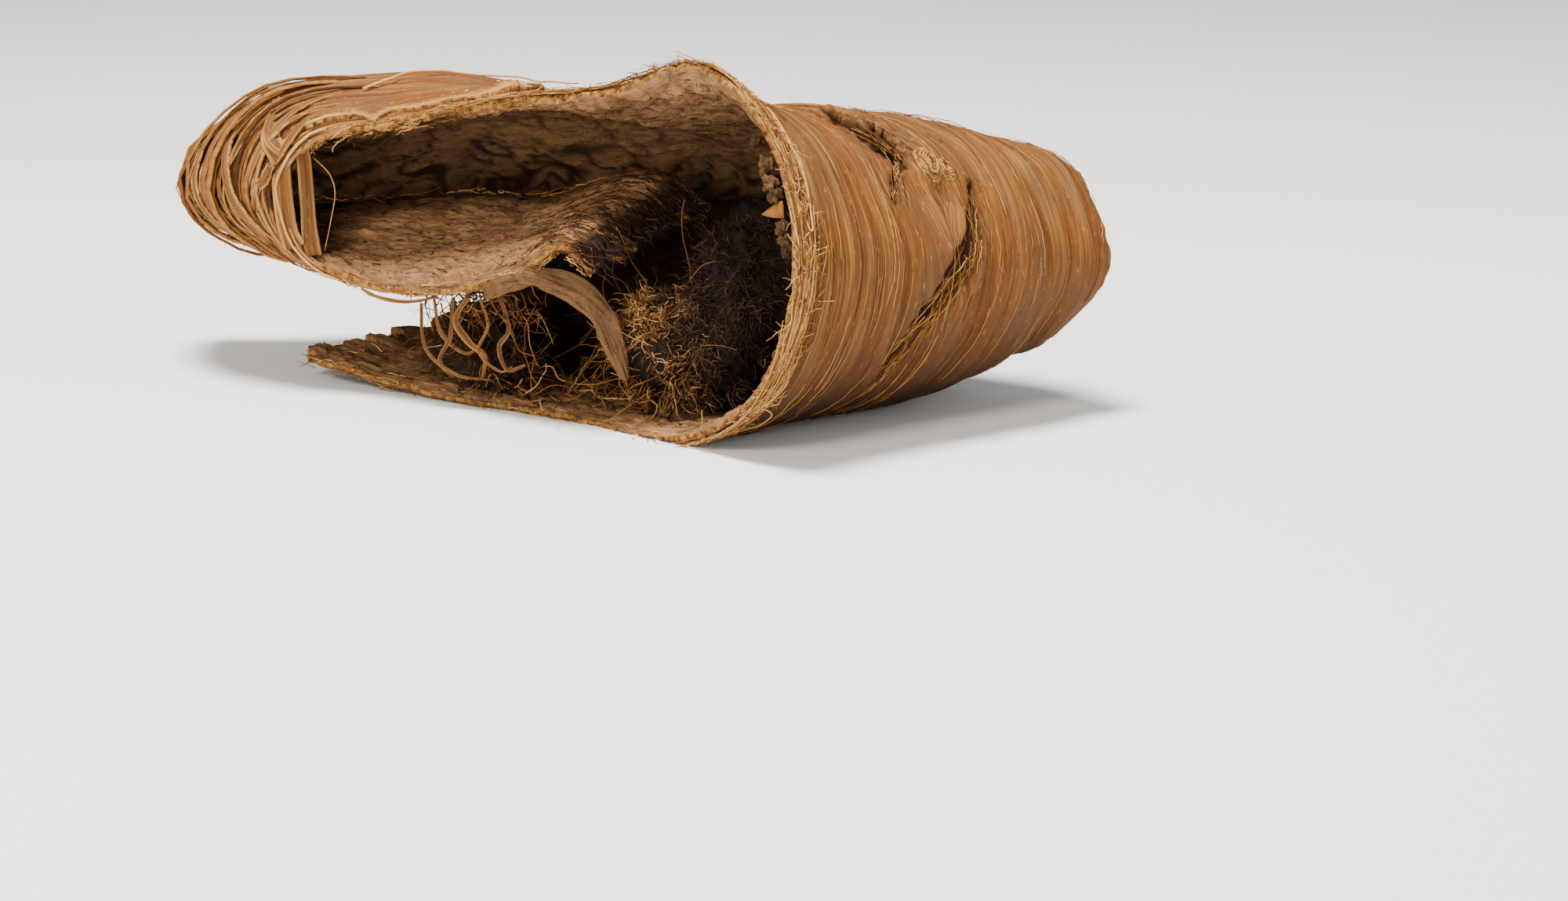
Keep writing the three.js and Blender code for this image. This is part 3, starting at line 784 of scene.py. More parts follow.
def closed_sheet(top, bottom, middle_out=0.18, seed=1, hole=None):
    """Points and faces of a closed sheet between two grids, with a broken edge and holes."""
    rows, columns = top.shape[:2]
    below = rows * columns
    hole = np.zeros((rows - 1, columns - 1), bool) if hole is None else hole.copy()
    hole[:2] = hole[-2:] = hole[:, :2] = hole[:, -2:] = False
    ids = np.arange(below).reshape(rows, columns)
    top_loop, bottom_loop = rim_loop(ids), rim_loop(ids) + below
    inward = np.concatenate([
        (top[:-1, 1] - top[:-1, 0]), (top[-2, :-1] - top[-1, :-1]),
        (top[:0:-1, -2] - top[:0:-1, -1]), (top[1, :0:-1] - top[0, :0:-1]),
    ])
    round_rim = np.arange(len(inward))
    stand = middle_out * (0.7 + 0.6 * noise(round_rim / 7, seed) + 0.3 * noise(round_rim / 2.3, seed + 5))
    middle = (rim_loop(top) + rim_loop(bottom)) / 2 - unit(inward) * stand[:, None]
    loop = 2 * below + round_rim
    top_next, next_on_loop, bottom_next = (np.roll(v, -1) for v in (top_loop, loop, bottom_loop))
    edge = np.concatenate([
        np.stack([top_loop, top_next, next_on_loop, loop], -1),
        np.stack([loop, next_on_loop, bottom_next, bottom_loop], -1),
        hole_walls(hole, columns, below),
    ])
    kept = ~hole.ravel()
    top_faces = grid_quads(rows, columns, 0, False)[kept]
    bottom_faces = grid_quads(rows, columns, below, True)[kept]
    faces = np.concatenate([top_faces, bottom_faces, edge])
    kinds = np.repeat([0, 1, 2], [len(top_faces), len(bottom_faces), len(edge)])
    return np.concatenate([top.reshape(-1, 3), bottom.reshape(-1, 3), middle]), faces, kinds


def over_sheet(shape, smooth, rough, edge):
    """One value for each point of a closed sheet, from a number or a grid for each of its faces."""
    smooth, rough = np.broadcast_to(smooth, shape), np.broadcast_to(rough, shape)
    border = np.full(len(rim_loop(smooth)), float(edge))
    return np.concatenate([smooth.ravel(), rough.ravel(), border])


def sheet_piece(name, top, bottom, where, materials, pale, shade, **sheet):
    """A closed sheet as a piece. where is its place on the unrolled strip; pale and shade are each
    given for the smooth face, the rough face and the edge."""
    points, faces, kinds = closed_sheet(top, bottom, **sheet)
    places = np.concatenate([where.reshape(-1, 3), where.reshape(-1, 3), rim_loop(where)])
    shape = where.shape[:2]
    return make_piece(
        name, points, faces, materials, places, over_sheet(shape, *pale), over_sheet(shape, *shade), kinds,
    )


def on_strip(at, across, aside=0.0):
    """The place on the unrolled strip that the materials read."""
    return np.stack([length_at(at), across * width_at(at) + aside, 0 * at], -1) * MM


# %% Say where the strip is pale and where it is dark
UNDERSIDE_END = 5.35  # station up to which the big bend's outside is painted with shade
HOLLOW_END = 8.3  # station up to which the big bend's inside is painted dark, as shade
INNER_ARM = 13.4  # station where the inner arm starts
CREST_END = 17.22  # station past which the crest is painted dark, as shade in the hollow beyond it


def rising(value, start, span):
    """0 up to a start, and then rising to 1 over a span."""
    return np.clip((value - start) / span, 0, 1)


def falling(value, end, span):
    """1 at first, and then falling over a span, to 0 at an end."""
    return np.clip((end - value) / span, 0, 1)


def smooth_zones(at, across):
    """How pale the smooth face is by its torn rims and ends, and how dark: painted shade in the cuts, the
    fold's gaps, underneath and towards the inner end, and the knot's own dark eye.
    """
    width = width_at(at)
    near_band = 0.75 * np.exp(-(across * width) / (2.6 + 1.3 * noise(length_at(at) / 9, 3)))
    far_band = 0.6 * np.exp(-((1 - across) * width) / 2.0)
    ends = np.exp(-(LAST - at) / 0.12) + np.exp(-at / 0.15)
    cuts = [np.clip(closeness(cut, at, across) * 2.2 + 0.1, 0, 1) for cut in SMOOTH_CUTS]
    under = falling(at, UNDERSIDE_END, 1.8) ** 1.2 * rising(at, 0, 0.4)
    along, aside = from_knot(at, across)
    # painted shade: the cuts, the underside, the fold's gaps and the inner end are darkened; the knot's eye
    # is its own dark
    dark = np.max([
        0.85 * np.max(cuts, axis=0), 0.9 * np.exp(-(along**2 + aside**2) / 0.9),
        0.88 * under * (1 - 0.7 * near_band), 0.95 * fold_gap(at, across), 0.95 * rising(at, 16.6, 0.6),
    ], axis=0)
    return np.clip(near_band + far_band + 0.6 * ends, 0, 1), dark


def rough_zones(at, across):
    """How pale the rough face is on the inner arm and by the near rim, and how dark: painted shade deep
    inside, at the back, past the crest and in the cracks.
    """
    from_near = across * width_at(at)
    inner_arm = rising(at, INNER_ARM, 0.8)
    outer_turn = 1 - inner_arm
    pale = 0.1 * inner_arm + 0.15 * np.exp(-from_near / 2.5) * outer_turn
    back = rising(across, 0.68, 0.25) * rising(at, 7, 1) * outer_turn
    inner_back = rising(across, 0.74, 0.2) * inner_arm * falling(at, 17.2, 0.8)
    past_tail = np.clip((at - 0.6 + from_near / 40) / 1.2, 0, 1)
    hollow = rising(from_near, 5, 18) * falling(at, HOLLOW_END, 1.5) * past_tail
    crest_end = rising(at, CREST_END, 0.22)
    by_rim = 0.02 + 0.3 * rising(from_near, 2, 4) * outer_turn + 0.2 * np.exp(-from_near / 14) * inner_arm
    # painted shade at the back of the inside, in the hollow of the big bend and past the crest
    dark = np.max([0.9 * back, 0.85 * inner_back, 0.95 * hollow, 0.96 * crest_end, by_rim], axis=0)
    crack_strength = 1 - 0.6 * inner_arm * falling(at, 16.4, 0.4)
    # painted shade in the cracks of the crust and, below, in the big cracks; both are also sunk into the
    # relief
    dark = np.clip(dark + 0.5 * crust_cracks(at, across) * crack_strength, 0, 1)
    for crack in CRACKS:
        dark = np.maximum(dark, 0.9 * np.clip(closeness(crack, at, across) * 1.6, 0, 1))
    return pale, dark


def strip_piece(name, first_at, last_at, rows, columns):
    """A length of the strip between two station numbers."""
    at, across = torn_grid(first_at, last_at, rows, columns)
    smooth, rough = sheet_heights(at, across)
    pale, dark = smooth_zones(at, across)
    rough_pale, rough_dark = rough_zones(at, across)
    return sheet_piece(
        name, place(at, across, smooth)[0], place(at, across, rough)[0],
        on_strip(at, across + fibre_shift(at, across)), [SMOOTH_BAST, ROUGH_CRUST, TORN_EDGE],
        (pale, rough_pale, 1), (dark, rough_dark, 0.15),
        hole=torn_open(cell_middles(at), cell_middles(across)),
    )


# %% Make the strip
bark_strip = strip_piece("bark_surface", 0, SEAM, rows=380, columns=128)
strip_piece("bark_surface_inner_arm", SEAM, LAST, rows=190, columns=116)
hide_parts("bark_strip")

# %% [markdown]
# ## Fibres that follow the surface
#
# Bark of this kind frays into its fibres wherever it is torn. Most of the loose fibres still lie on
# the strip, so their paths are drawn on the unrolled sheet and then put on the curled one: a start,
# a heading measured from the strip's length, a bend, a wander, and a height over the middle of the
# sheet. The random numbers come from one seeded stream for each group.

# %% Draw fibres on the sheet
def pick(rng, count, low, high):
    """Random numbers between two others."""
    return rng.uniform(low, high, count)


def wavy(rng, fibres, stops, waves=2.0):
    """A smooth random line between -1 and 1 for each fibre."""
    share = np.linspace(0, 1, stops)
    total = np.zeros((fibres, stops))
    for k in range(1, 4):
        phase, strength = rng.uniform(0, 2 * np.pi, (fibres, 1)), rng.uniform(0.3, 1, (fibres, 1)) / k
        total += strength * np.sin(2 * np.pi * waves * k * share / 2 + phase)
    return total / 1.5


def on_sheet(rng, at, across, heading, length, height, bend=0.0, wander=0.5, lift=0.0, stops=10):
    """Paths over the strip. heading and bend are angles from the strip's length in radians; wander
    and lift are in millimetres; height may be one number or an array of fibres x stops."""
    count = len(at)
    share = np.linspace(0, 1, stops)[None, :]
    angle = heading[:, None] + np.broadcast_to(bend, count)[:, None] * share
    step = (length / (stops - 1))[:, None]
    run = np.concatenate([np.zeros((count, 1)), np.cumsum(step * np.cos(angle[:, 1:]), 1)], 1)
    drift = np.concatenate([np.zeros((count, 1)), np.cumsum(step * np.sin(angle[:, 1:]), 1)], 1)
    drift = drift + wander * wavy(rng, count, stops)
    places = station_at(length_at(at)[:, None] + run)
    share_across = across[:, None] + drift / width_at(places)
    raised = np.broadcast_to(height, (count, stops)) + lift * np.abs(wavy(rng, count, stops))
    paths, _, _, outs = place(places, share_across, raised)
    return paths, outs


THICKEST = 0.28  # half the thickness of the thickest strap, in millimetres


def lay(name, rng, paths, outs, half, material, tint, flat=0.8, tip=0.4, corners=3, shift=0.0):
    """A group of fibres as one piece. Their half widths and tints are picked between two numbers,
    and flat is the thickness as a share of the width."""
    count, stops = paths.shape[:2]
    wide = pick(rng, count, *half)[:, None] * taper(stops, tip)[None, :]
    tints = pick(rng, count, *tint) + shift
    fibre_piece(name, paths, outs, wide, np.minimum(wide * flat, THICKEST), material, tints, corners)


print("fibres can be drawn")

# %% [markdown]
# ### Hairs of the smooth face
#
# Fine pale fibres have lifted all over the smooth face. They catch the light as thin lines, which
# shows the eye how the sheet curves.

# %% Lay hairs on the smooth face
rng = np.random.default_rng(11)
count = 560
at, across = pick(rng, count, 0.3, 12.2), pick(rng, count, 0.02, 0.98)
paths, outs = on_sheet(
    rng, at, across, pick(rng, count, -0.07, 0.07), pick(rng, count, 6, 34),
    smooth_height(at, across)[:, None] + 0.02,
    bend=pick(rng, count, -0.1, 0.1), wander=0.35, lift=0.3, stops=9,
)
lay("face_hairs", rng, paths, outs, (0.05, 0.12), PALE_FIBRE, (0.3, 1.1), flat=1)

# %% [markdown]
# ### The frayed near rim
#
# The near rim is a band about four millimetres wide of matted pale fibre. Long fibres run along
# it, short ones cross them at all angles, and some stand out past the edge.

# %% Mat the near rim
rng = np.random.default_rng(23)
count, band = 520, 4.4
at = pick(rng, count, 2.4, 9.2)
from_rim = band * rng.random(count) ** 1.3
across = from_rim / width_at(at) + 0.004
heading, length = pick(rng, count, -0.1, 0.1), pick(rng, count, 5, 24)
paths, outs = on_sheet(
    rng, at, across, heading, length,
    smooth_height(at, across)[:, None] + pick(rng, count, -0.05, 0.3)[:, None],
    bend=pick(rng, count, -0.15, 0.15), wander=0.45, lift=0.35, stops=9,
)
lay("rim_mat", rng, paths, outs, (0.08, 0.19), PALE_FIBRE, (0.1, 1.15))

count = 420
at, across = pick(rng, count, 2.6, 8.8), pick(rng, count, 0.0, 0.06)
heading = rng.choice([-1, 1], count) * pick(rng, count, 0.4, 1.9)
paths, outs = on_sheet(
    rng, at, across, heading, pick(rng, count, 1.6, 5.5), smooth_height(at, across)[:, None] + 0.1,
    bend=pick(rng, count, -1.6, 1.6), wander=0.3, lift=0.7, stops=6,
)
lay("rim_crossing", rng, paths, outs, (0.08, 0.17), PALE_FIBRE, (0.0, 0.8), flat=1)

# %% Leave single long fibres by the rim
LONG_FIBRES = [
    # places along and across, and the height over the smooth face in millimetres; then the half width
    ([(6.1, 0.085, 0.3), (5.8, 0.073, 0.5), (5.5, 0.062, 0.4), (5.15, 0.056, 0.5), (4.86, 0.058, 0.4),
      (4.8, 0.075, 0.5), (4.79, 0.13, 0.5)], 0.17),
    ([(6.6, 0.1, 0.3), (6.2, 0.075, 0.4), (5.7, 0.062, 0.7), (5.45, 0.052, 0.9), (5.36, 0.045, 1.2),
      (5.38, 0.036, 1.0), (5.46, 0.04, 0.6)], 0.2),
    ([(7.4, 0.2, 0.3), (7.1, 0.12, 0.8), (6.8, 0.06, 0.9), (6.5, 0.03, 0.4)], 0.17),
    ([(7.9, 0.05, 0.3), (7.5, 0.1, 0.7), (7.1, 0.17, 0.7), (6.9, 0.28, 0.4)], 0.15),
    ([(10.4, 0.19, 2.0), (10.0, 0.26, 2.5), (9.6, 0.33, 2.8), (9.25, 0.4, 2.6), (9.0, 0.47, 2.2)], 0.26),
    ([(4.4, 0.03, 0.2), (4.1, 0.06, 0.9), (3.9, 0.03, 0.8), (3.7, 0.07, 0.3)], 0.14),
    ([(3.9, 0.02, 0.4), (3.75, 0.09, 1.2), (3.5, 0.1, 0.9), (3.4, 0.04, 0.4)], 0.14),
]
for index, (marks, half) in enumerate(LONG_FIBRES):
    at, across, height = curve_through(marks, 30).T
    path, _, _, out = place(at, across, smooth_height(at, across) + height - 0.3)
    lone_fibre(f"long_fibre_{index + 1}", path, out, half, 0.5, PALE_FIBRE, 0.15)

# %% [markdown]
# ### Fibres in the gash and the tear
#
# Where the smooth layer has split open, the dark hollow is bridged by fibres at a low angle.

# %% Bridge the gash
rng = np.random.default_rng(31)


def along_cut(cut, count):
    """Random places along a cut, and the heading of the cut there."""
    marks = np.array(cut["path"])
    share = np.sort(rng.random(count)) * (len(marks) - 1)
    line = np.column_stack([marks, np.zeros(len(marks))])
    here, ahead = smooth_curve(line, share), smooth_curve(line, share + 0.1)
    run = flat_place(ahead[:, 0], ahead[:, 1]) - flat_place(here[:, 0], here[:, 1])
    return here[:, 0], here[:, 1], np.arctan2(run[:, 1], run[:, 0])


for label, cut, count, spread, material in (
    ("gash_fibres", GASH, 84, 0.45, PALE_FIBRE),
    ("tear_fibres", TEAR, 16, 0.6, GOLDEN_FIBRE),
    ("split_fibres", SPLIT, 30, 0.35, PALE_FIBRE),
):
    at, across, heading = along_cut(cut, count)
    length = pick(rng, count, 2.5, 8) * cut["half"] / 1.9
    sideways = pick(rng, count, -0.8, 0.8) * cut["half"]
    across = across + sideways / width_at(at)
    rise = THICKNESS / 2 + pick(rng, count, -1.1, 0.25)[:, None]
    heading = heading + pick(rng, count, -spread, spread)
    paths, outs = on_sheet(rng, at, across, heading, length, rise, wander=0.25, lift=0.3)
    lay(label, rng, paths, outs, (0.08, 0.16), material, (0.2, 1.0), flat=1)

# %% [markdown]
# ### The knot
#
# Beside the tear, fibres have wound round a small knot. Arcs of fibre run round its dark eye, and a
# smaller whorl lies next to it.

# %% Wind fibres round the knot
rng = np.random.default_rng(67)
for label, at, aside, size, count in (
    ("knot_whorl", KNOT["at"], 0.0, 3.2, 66),
    ("small_whorl", KNOT["at"] - 0.02, 4.6, 2.3, 40),
):
    share = np.linspace(0, 1, 22)[None, :]
    turn = pick(rng, count, 0, 2 * np.pi)[:, None] + pick(rng, count, 1.6, 5.2)[:, None] * share
    radius = size * (pick(rng, count, 0.25, 1.0)[:, None] + pick(rng, count, -0.25, 0.3)[:, None] * share)
    radius = radius * (1 + 0.12 * wavy(rng, *turn.shape))
    around = station_at(length_at(at) + radius * np.cos(turn) * 1.15)
    across = KNOT["across"] + (aside + radius * np.sin(turn) * 0.8) / width_at(around)
    dome = 0.5 * np.exp(-(((radius / size) - 0.6) ** 2) / 0.09)
    high = smooth_height(around, across) + dome + 0.1 * wavy(rng, *turn.shape)
    paths, _, _, outs = place(around, across, high)
    lay(label, rng, paths, outs, (0.1, 0.27), PALE_FIBRE, (0.1, 1.1))

# %% [markdown]
# ## The layer that has lifted
#
# Over the left of the upper arm the outermost layer has come away in one piece. Its torn end stands
# up a little, and its near edge is ragged.

# %% Lift the layer
LAYER = {"from": 8.95, "to": 12.3, "near": 0.05, "far": 0.97, "height": 1.35, "lift": 1.7}
LAYER_ROWS, LAYER_COLUMNS = 140, 116
down, over = np.meshgrid(np.linspace(0, 1, LAYER_ROWS), np.linspace(0, 1, LAYER_COLUMNS), indexing="ij")
ragged = (0.16 * (1 + noise(over * 6.4, 21)) + 0.05 * noise(over * 40, 22)) * (1 - down)
at = LAYER["from"] + (LAYER["to"] - LAYER["from"]) * down + ragged
tear_in = 0.03 * noise(at * 4, 33) + 0.008 * noise(at * 27, 34)
across = LAYER["near"] + tear_in * (1 - over) + (LAYER["far"] - LAYER["near"]) * over
raised = LAYER["lift"] * np.exp(-4 * (at - LAYER["from"])) * (0.6 + 0.4 * noise(over * 5.6, 5))
edge = np.clip(3 * (1 - down), 0, 1) * np.clip(0.35 + 14 * np.minimum(over, 1 - over), 0, 1)
ridges = 0.4 * noise(length_at(at) / 40, across * 19)
under_layer = smooth_height(at, across)
top = under_layer + (LAYER["height"] + ridges) * edge + raised
bottom = under_layer + np.minimum(raised * 0.6 - 0.5, (top - under_layer) - 0.45)
torn_pale = np.clip(np.exp(-down / 0.035) + 0.9 * np.exp(-over / 0.022), 0, 1)
sheet_piece(
    "lifted_layer", place(at, across, top)[0], place(at, across, bottom)[0],
    on_strip(at, across + fibre_shift(at, across), aside=31), [SMOOTH_BAST, TORN_EDGE, TORN_EDGE],
    # painted shade in the fold's gaps, on the lifted layer's smooth face
    (torn_pale, torn_pale, 1), (0.85 * fold_gap(at, across), 0.3, 0.1),
    middle_out=0.2, seed=4, hole=torn_open(cell_middles(at), cell_middles(across)),
)

# %% [markdown]
# ## The broken fold at the left
#
# The tight fold has let go of its layers. Strands and straps arch over it, and an inner layer,
# painted dark as the shade seen through the gaps between them, closes the view there. Ribbons are
# broad enough to show a grooved face, so they are made as thin closed sheets: four lie on the strip,
# and four hang free in front of the inside. Fine curls stick out at the far left.

# %% String the fold
rng = np.random.default_rng(37)
for label, count, half, stand_span, material, tint in (
    ("fold_strands", 64, (0.16, 0.5), (0.3, 2.2), GOLDEN_FIBRE, (0.0, 0.75)),
    ("fold_straps", 17, (0.6, 1.2), (0.6, 2.8), PALE_FIBRE, (0.5, 1.2)),
):
    stops = 16
    share = np.linspace(0, 1, stops)[None, :]
    start = pick(rng, count, 0.0, 0.97)
    first, last = pick(rng, count, 10.2, 11.7), pick(rng, count, 12.5, 13.9)
    at = first[:, None] + (last - first)[:, None] * share
    stand = pick(rng, count, *stand_span)[:, None] * np.sin(np.pi * share) ** 0.8
    across = start[:, None] + pick(rng, count, -0.09, 0.04)[:, None] * share + 0.01 * wavy(rng, count, stops)
    over_layer = 1.2 * np.clip(12.3 - at, 0, 1) * np.clip(at - 9, 0, 1)
    paths, _, _, outs = place(at, across, THICKNESS / 2 - 0.2 + stand + over_layer)
    lay(label, rng, paths, outs, half, material, tint, flat=0.7, tip=0.6, corners=5)

# %% Line the fold with an inner layer, painted dark as shade
LINING_POINTS = 46  # each way
at, across = np.meshgrid(
    np.linspace(11.25, 13.3, LINING_POINTS), np.linspace(0.05, 0.95, LINING_POINTS), indexing="ij")
lining = -THICKNESS / 2 - 1.2 + 0.5 * noise(at * 5, across * 9)
sheet_piece(
    "fold_lining", place(at, across, lining)[0], place(at, across, lining - 0.7)[0], on_strip(at, across),
    [ROUGH_CRUST] * 3, (0, 0, 0), (0.6, 0.4, 0.5), seed=12,
)

# %% Hang the ribbons
LAID_RIBBONS = [
    # places along and across, the height over the middle of the sheet in millimetres; the half width
    ([(11.2, 0.44, 2.2), (11.6, 0.31, 3.4), (12.1, 0.17, 4.2), (12.5, 0.12, 3.4), (12.95, 0.1, 1.6)], 1.0),
    ([(11.0, 0.62, 2.4), (11.6, 0.5, 3.4), (12.2, 0.38, 3.8), (12.8, 0.3, 2.2)], 0.8),
    ([(10.7, 0.12, 2.6), (11.1, 0.05, 3.2), (11.5, 0.03, 3.4), (11.9, 0.06, 3.0), (12.3, 0.1, 2.6)], 0.8),
    ([(10.6, 0.2, 2.6), (11.1, 0.12, 3.6), (11.6, 0.1, 3.8), (12.1, 0.13, 2.6)], 0.7),
]
FREE_RIBBONS = [
    # points in millimetres among the stations, then the half width
    ([(-91, -17.5, 51.5), (-86.5, -22, 48), (-83, -25, 45.3), (-80.3, -25, 42.2), (-79.4, -25, 35.6),
      (-78.7, -24.6, 29.4), (-77.8, -24, 26.2)], 1.75),
    ([(-72, -16, 47.5), (-74.5, -19.5, 46.8), (-77.3, -22, 45), (-77.5, -21.5, 41.6), (-77, -21.4, 34.6),
      (-76.6, -21.4, 28), (-76.2, -21, 24.6)], 1.35),
    ([(-90, -19, 50.4), (-86, -24, 47), (-82, -26, 44.6), (-79.6, -24.6, 42.8), (-78.6, -23.4, 42.4)], 0.5),
    ([(-80.4, -27, 41), (-81.6, -27.4, 38.6), (-83.6, -27.8, 37)], 0.9),
]
FREE_FACE = (0.66, -0.7, 0.3)  # where the free ribbons face: forward and out
SHADED_RIBBON = 5  # the one that hangs inside the mouth


def ribbon(name, path, out, half, index, finish, shade, tip=0.0):
    """A thin strap with a grooved face, as one closed sheet along a path."""
    over = np.linspace(-1, 1, 13)[None, :]
    share = np.linspace(0, 1, len(path))[:, None]
    heading = unit(np.gradient(path, axis=0))
    side = unit(np.cross(heading, out))
    out = np.cross(side, heading)
    uneven = 0.2 * noise(share * 7 + index, over * 0.7)
    wide = half * (0.7 + 0.3 * np.clip(share * 3, 0, 1) - tip * share**4 + uneven)
    groove = 0.3 * noise(share * 4, over * half * 3.5 + 5) - 0.35 * over**2

    def face(lift):
        return (path[:, None] + side[:, None] * (wide * over)[..., None]
                + out[:, None] * (groove * half * 0.6 + lift)[..., None])

    frayed = np.clip(np.abs(over) * 1.6 - 1.0, 0, 1) + 0 * share
    where = np.stack(np.broadcast_arrays(share * 45, over * half + 17 * index, 0 * share * over), -1) * MM
    sheet_piece(
        name, face(0.2), face(-0.2), where, [finish, TORN_EDGE, TORN_EDGE],
        (frayed + 0.35, frayed, 0.8), (shade, shade + 0.4, shade + 0.1), middle_out=0.12, seed=index + 8,
    )


for index, (marks, half) in enumerate(LAID_RIBBONS + FREE_RIBBONS):
    path = curve_through(marks, 44)
    if index < len(LAID_RIBBONS):
        path, _, _, out = place(*path.T)
    else:
        out = unit(np.broadcast_to(FREE_FACE, path.shape))
    shade = 0.35 if index == SHADED_RIBBON else 0.05
    ribbon(f"ribbon_{index + 1}", path, out, half, index, SMOOTH_BAST, shade)


# %% Grow free fibres
def grow(rng, roots, headings, length, curl, stops=9, droop=0.0):
    """Fibres that leave the strip: they start at a root and wind as they go."""
    count = len(roots)
    turn = np.stack([wavy(rng, count, stops, 1.3) for _ in range(3)], -1)
    sag = np.array([0, 0, -droop]) * np.linspace(0, 1, stops)[None, :, None]
    way = unit(headings[:, None] + curl * (turn - turn[:, :1]) + sag)
    step = (length / (stops - 1))[:, None, None]
    paths = roots[:, None] + np.concatenate([np.zeros((count, 1, 3)), np.cumsum(way[:, 1:] * step, 1)], 1)
    outs = unit(np.cross(way, rng.normal(size=(count, 1, 3))))
    return paths, outs


rng = np.random.default_rng(41)
count = 70
at = pick(rng, count, 11.6, 12.9)
across = rng.choice([0.42, 0.6, 0.8, 0.95], count) + pick(rng, count, -0.08, 0.08)
roots, along, side, out = place(at, across, 1.2)
heading = unit(along * 0.6 + out * pick(rng, count, 0.0, 0.5)[:, None] - side * 0.7)
paths, outs = grow(rng, roots, heading, pick(rng, count, 2, 5), 1.5, stops=12)
lay("fold_curls", rng, paths, outs, (0.08, 0.16), PALE_FIBRE, (0.0, 0.6), flat=1)

# %% [markdown]
# ## Torn ends and the inside
#
# Both torn ends, and the end of the lifted layer, splinter into fibres that carry on along the
# strip. The rims are frayed too, but less. On the rough face short bits of fibre stand up from the
# crust, and threads cover the crest of the inner arm.

# %% Splinter the torn ends
rng = np.random.default_rng(43)
LEAN = 0.35
ALL_OVER, IN_SHEET = (0.02, 0.98), (-1.2, 1.2)
TORN_ENDS = [
    # name, count, station, forward or back, length, curl, finish, tint, span across, height in the sheet
    # the dark splinters at the inner end are painted shade for the hollow past the crest
    ("inner_end_splinters", 260, LAST - 0.12, 1, (1.2, 4.5), 0.5, DARK_FIBRE, (0.1, 1.2), ALL_OVER, IN_SHEET),
    ("tail_splinters", 200, 0.15, -1, (2, 5.5), 0.4, GOLDEN_FIBRE, (0.0, 0.8), ALL_OVER, IN_SHEET),
    ("layer_splinters", 150, 9.15, -1, (1, 3.2), 0.4, PALE_FIBRE, (0.0, 0.7), (0.06, 0.95), (1.6, 3.2)),
]
for name, count, at, forward, length, curl, material, tint, span, layer in TORN_ENDS:
    across = pick(rng, count, *span)
    at = at - forward * pick(rng, count, 0.05, 0.3)
    roots, along, side, out = place(at, across, pick(rng, count, *layer))
    heading = along * forward + side * pick(rng, count, -LEAN, LEAN)[:, None]
    heading = unit(heading + out * pick(rng, count, -LEAN, LEAN)[:, None])
    paths, outs = grow(rng, roots, heading, pick(rng, count, *length), curl)
    lay(name, rng, paths, outs, (0.1, 0.3), material, tint, flat=0.7, tip=0.3)

# %% Fray the far rim and the inner rims
for label, count, span, rim, reach in (
    ("far_rim_fibres", 260, (0.4, 13.0), 0.98, -1),
    ("inner_near_rim_fibres", 150, (13.4, 17.8), 0.012, 1),
    ("inner_far_rim_fibres", 120, (13.4, 17.8), 0.985, -1),
    ("upper_near_rim_fibres", 260, (8.6, 11.6), 0.02, 1),
    ("lower_near_rim_fibres", 120, (0.3, 2.8), 0.012, 1),
):
    at = pick(rng, count, *span)
    across = rim + reach * pick(rng, count, -0.01, 0.03)
    heading = rng.choice([-1, 1], count) * pick(rng, count, 0, 0.35) ** 1.5
    length, height = pick(rng, count, 1.5, 7), pick(rng, count, -1.3, 1.6)[:, None]
    bend = pick(rng, count, -0.5, 0.5)
    paths, outs = on_sheet(rng, at, across, heading, length, height, bend=bend, wander=0.4, lift=0.5, stops=9)
    lay(label, rng, paths, outs, (0.09, 0.2), PALE_FIBRE, (0.1, 1.0))

# %% Scatter bits over the rough face
rng = np.random.default_rng(47)
for label, count, span, reach, material, tint, length in (
    ("crust_bits", 900, (6.6, 12.2), (0.01, 0.6), GOLDEN_FIBRE, (0.3, 1.2), (1.2, 4)),
    ("crust_bits_floor", 500, (0.3, 5.8), (0.01, 0.9), GOLDEN_FIBRE, (0.5, 1.2), (1.2, 4)),
    ("crust_bits_inner", 650, (13.0, 17.6), (0.02, 0.98), GOLDEN_FIBRE, (0.2, 0.9), (1, 3)),
    ("crest_threads", 190, (16.2, 17.1), (0.01, 0.9), GOLDEN_FIBRE, (0.35, 1.1), (2, 6)),
    # the dark threads past the crest are painted shade for the hollow beyond it
    ("crest_end_threads", 260, (17.0, 17.9), (0.02, 0.98), DARK_FIBRE, (0.1, 1.2), (3, 8)),
):
    at, across = pick(rng, count, *span), pick(rng, count, *reach)
    low = rough_height(at, across)[:, None] - 0.02
    heading = rng.choice([0, np.pi], count) + 0.5 * rng.normal(size=count)
    length, bend = pick(rng, count, *length), pick(rng, count, -0.7, 0.7)
    paths, outs = on_sheet(rng, at, across, heading, length, low, bend=bend, wander=0.2, lift=-0.4, stops=5)
    lay(label, rng, paths, outs, (0.06, 0.16), material, tint, tip=0.5)

# %% [markdown]
# ## Shreds inside the scroll
#
# Torn-off fibre has gathered inside the scroll: a mat of golden shreds in the middle of the mouth,
# dark feathery ones above and behind it, and a thin fringe under the inner arm. Each heap has a
# lump at its heart, painted dark as the shade deep inside it, which keeps it from being see-through;
# the lump is covered by many small tufts of fine fibre.

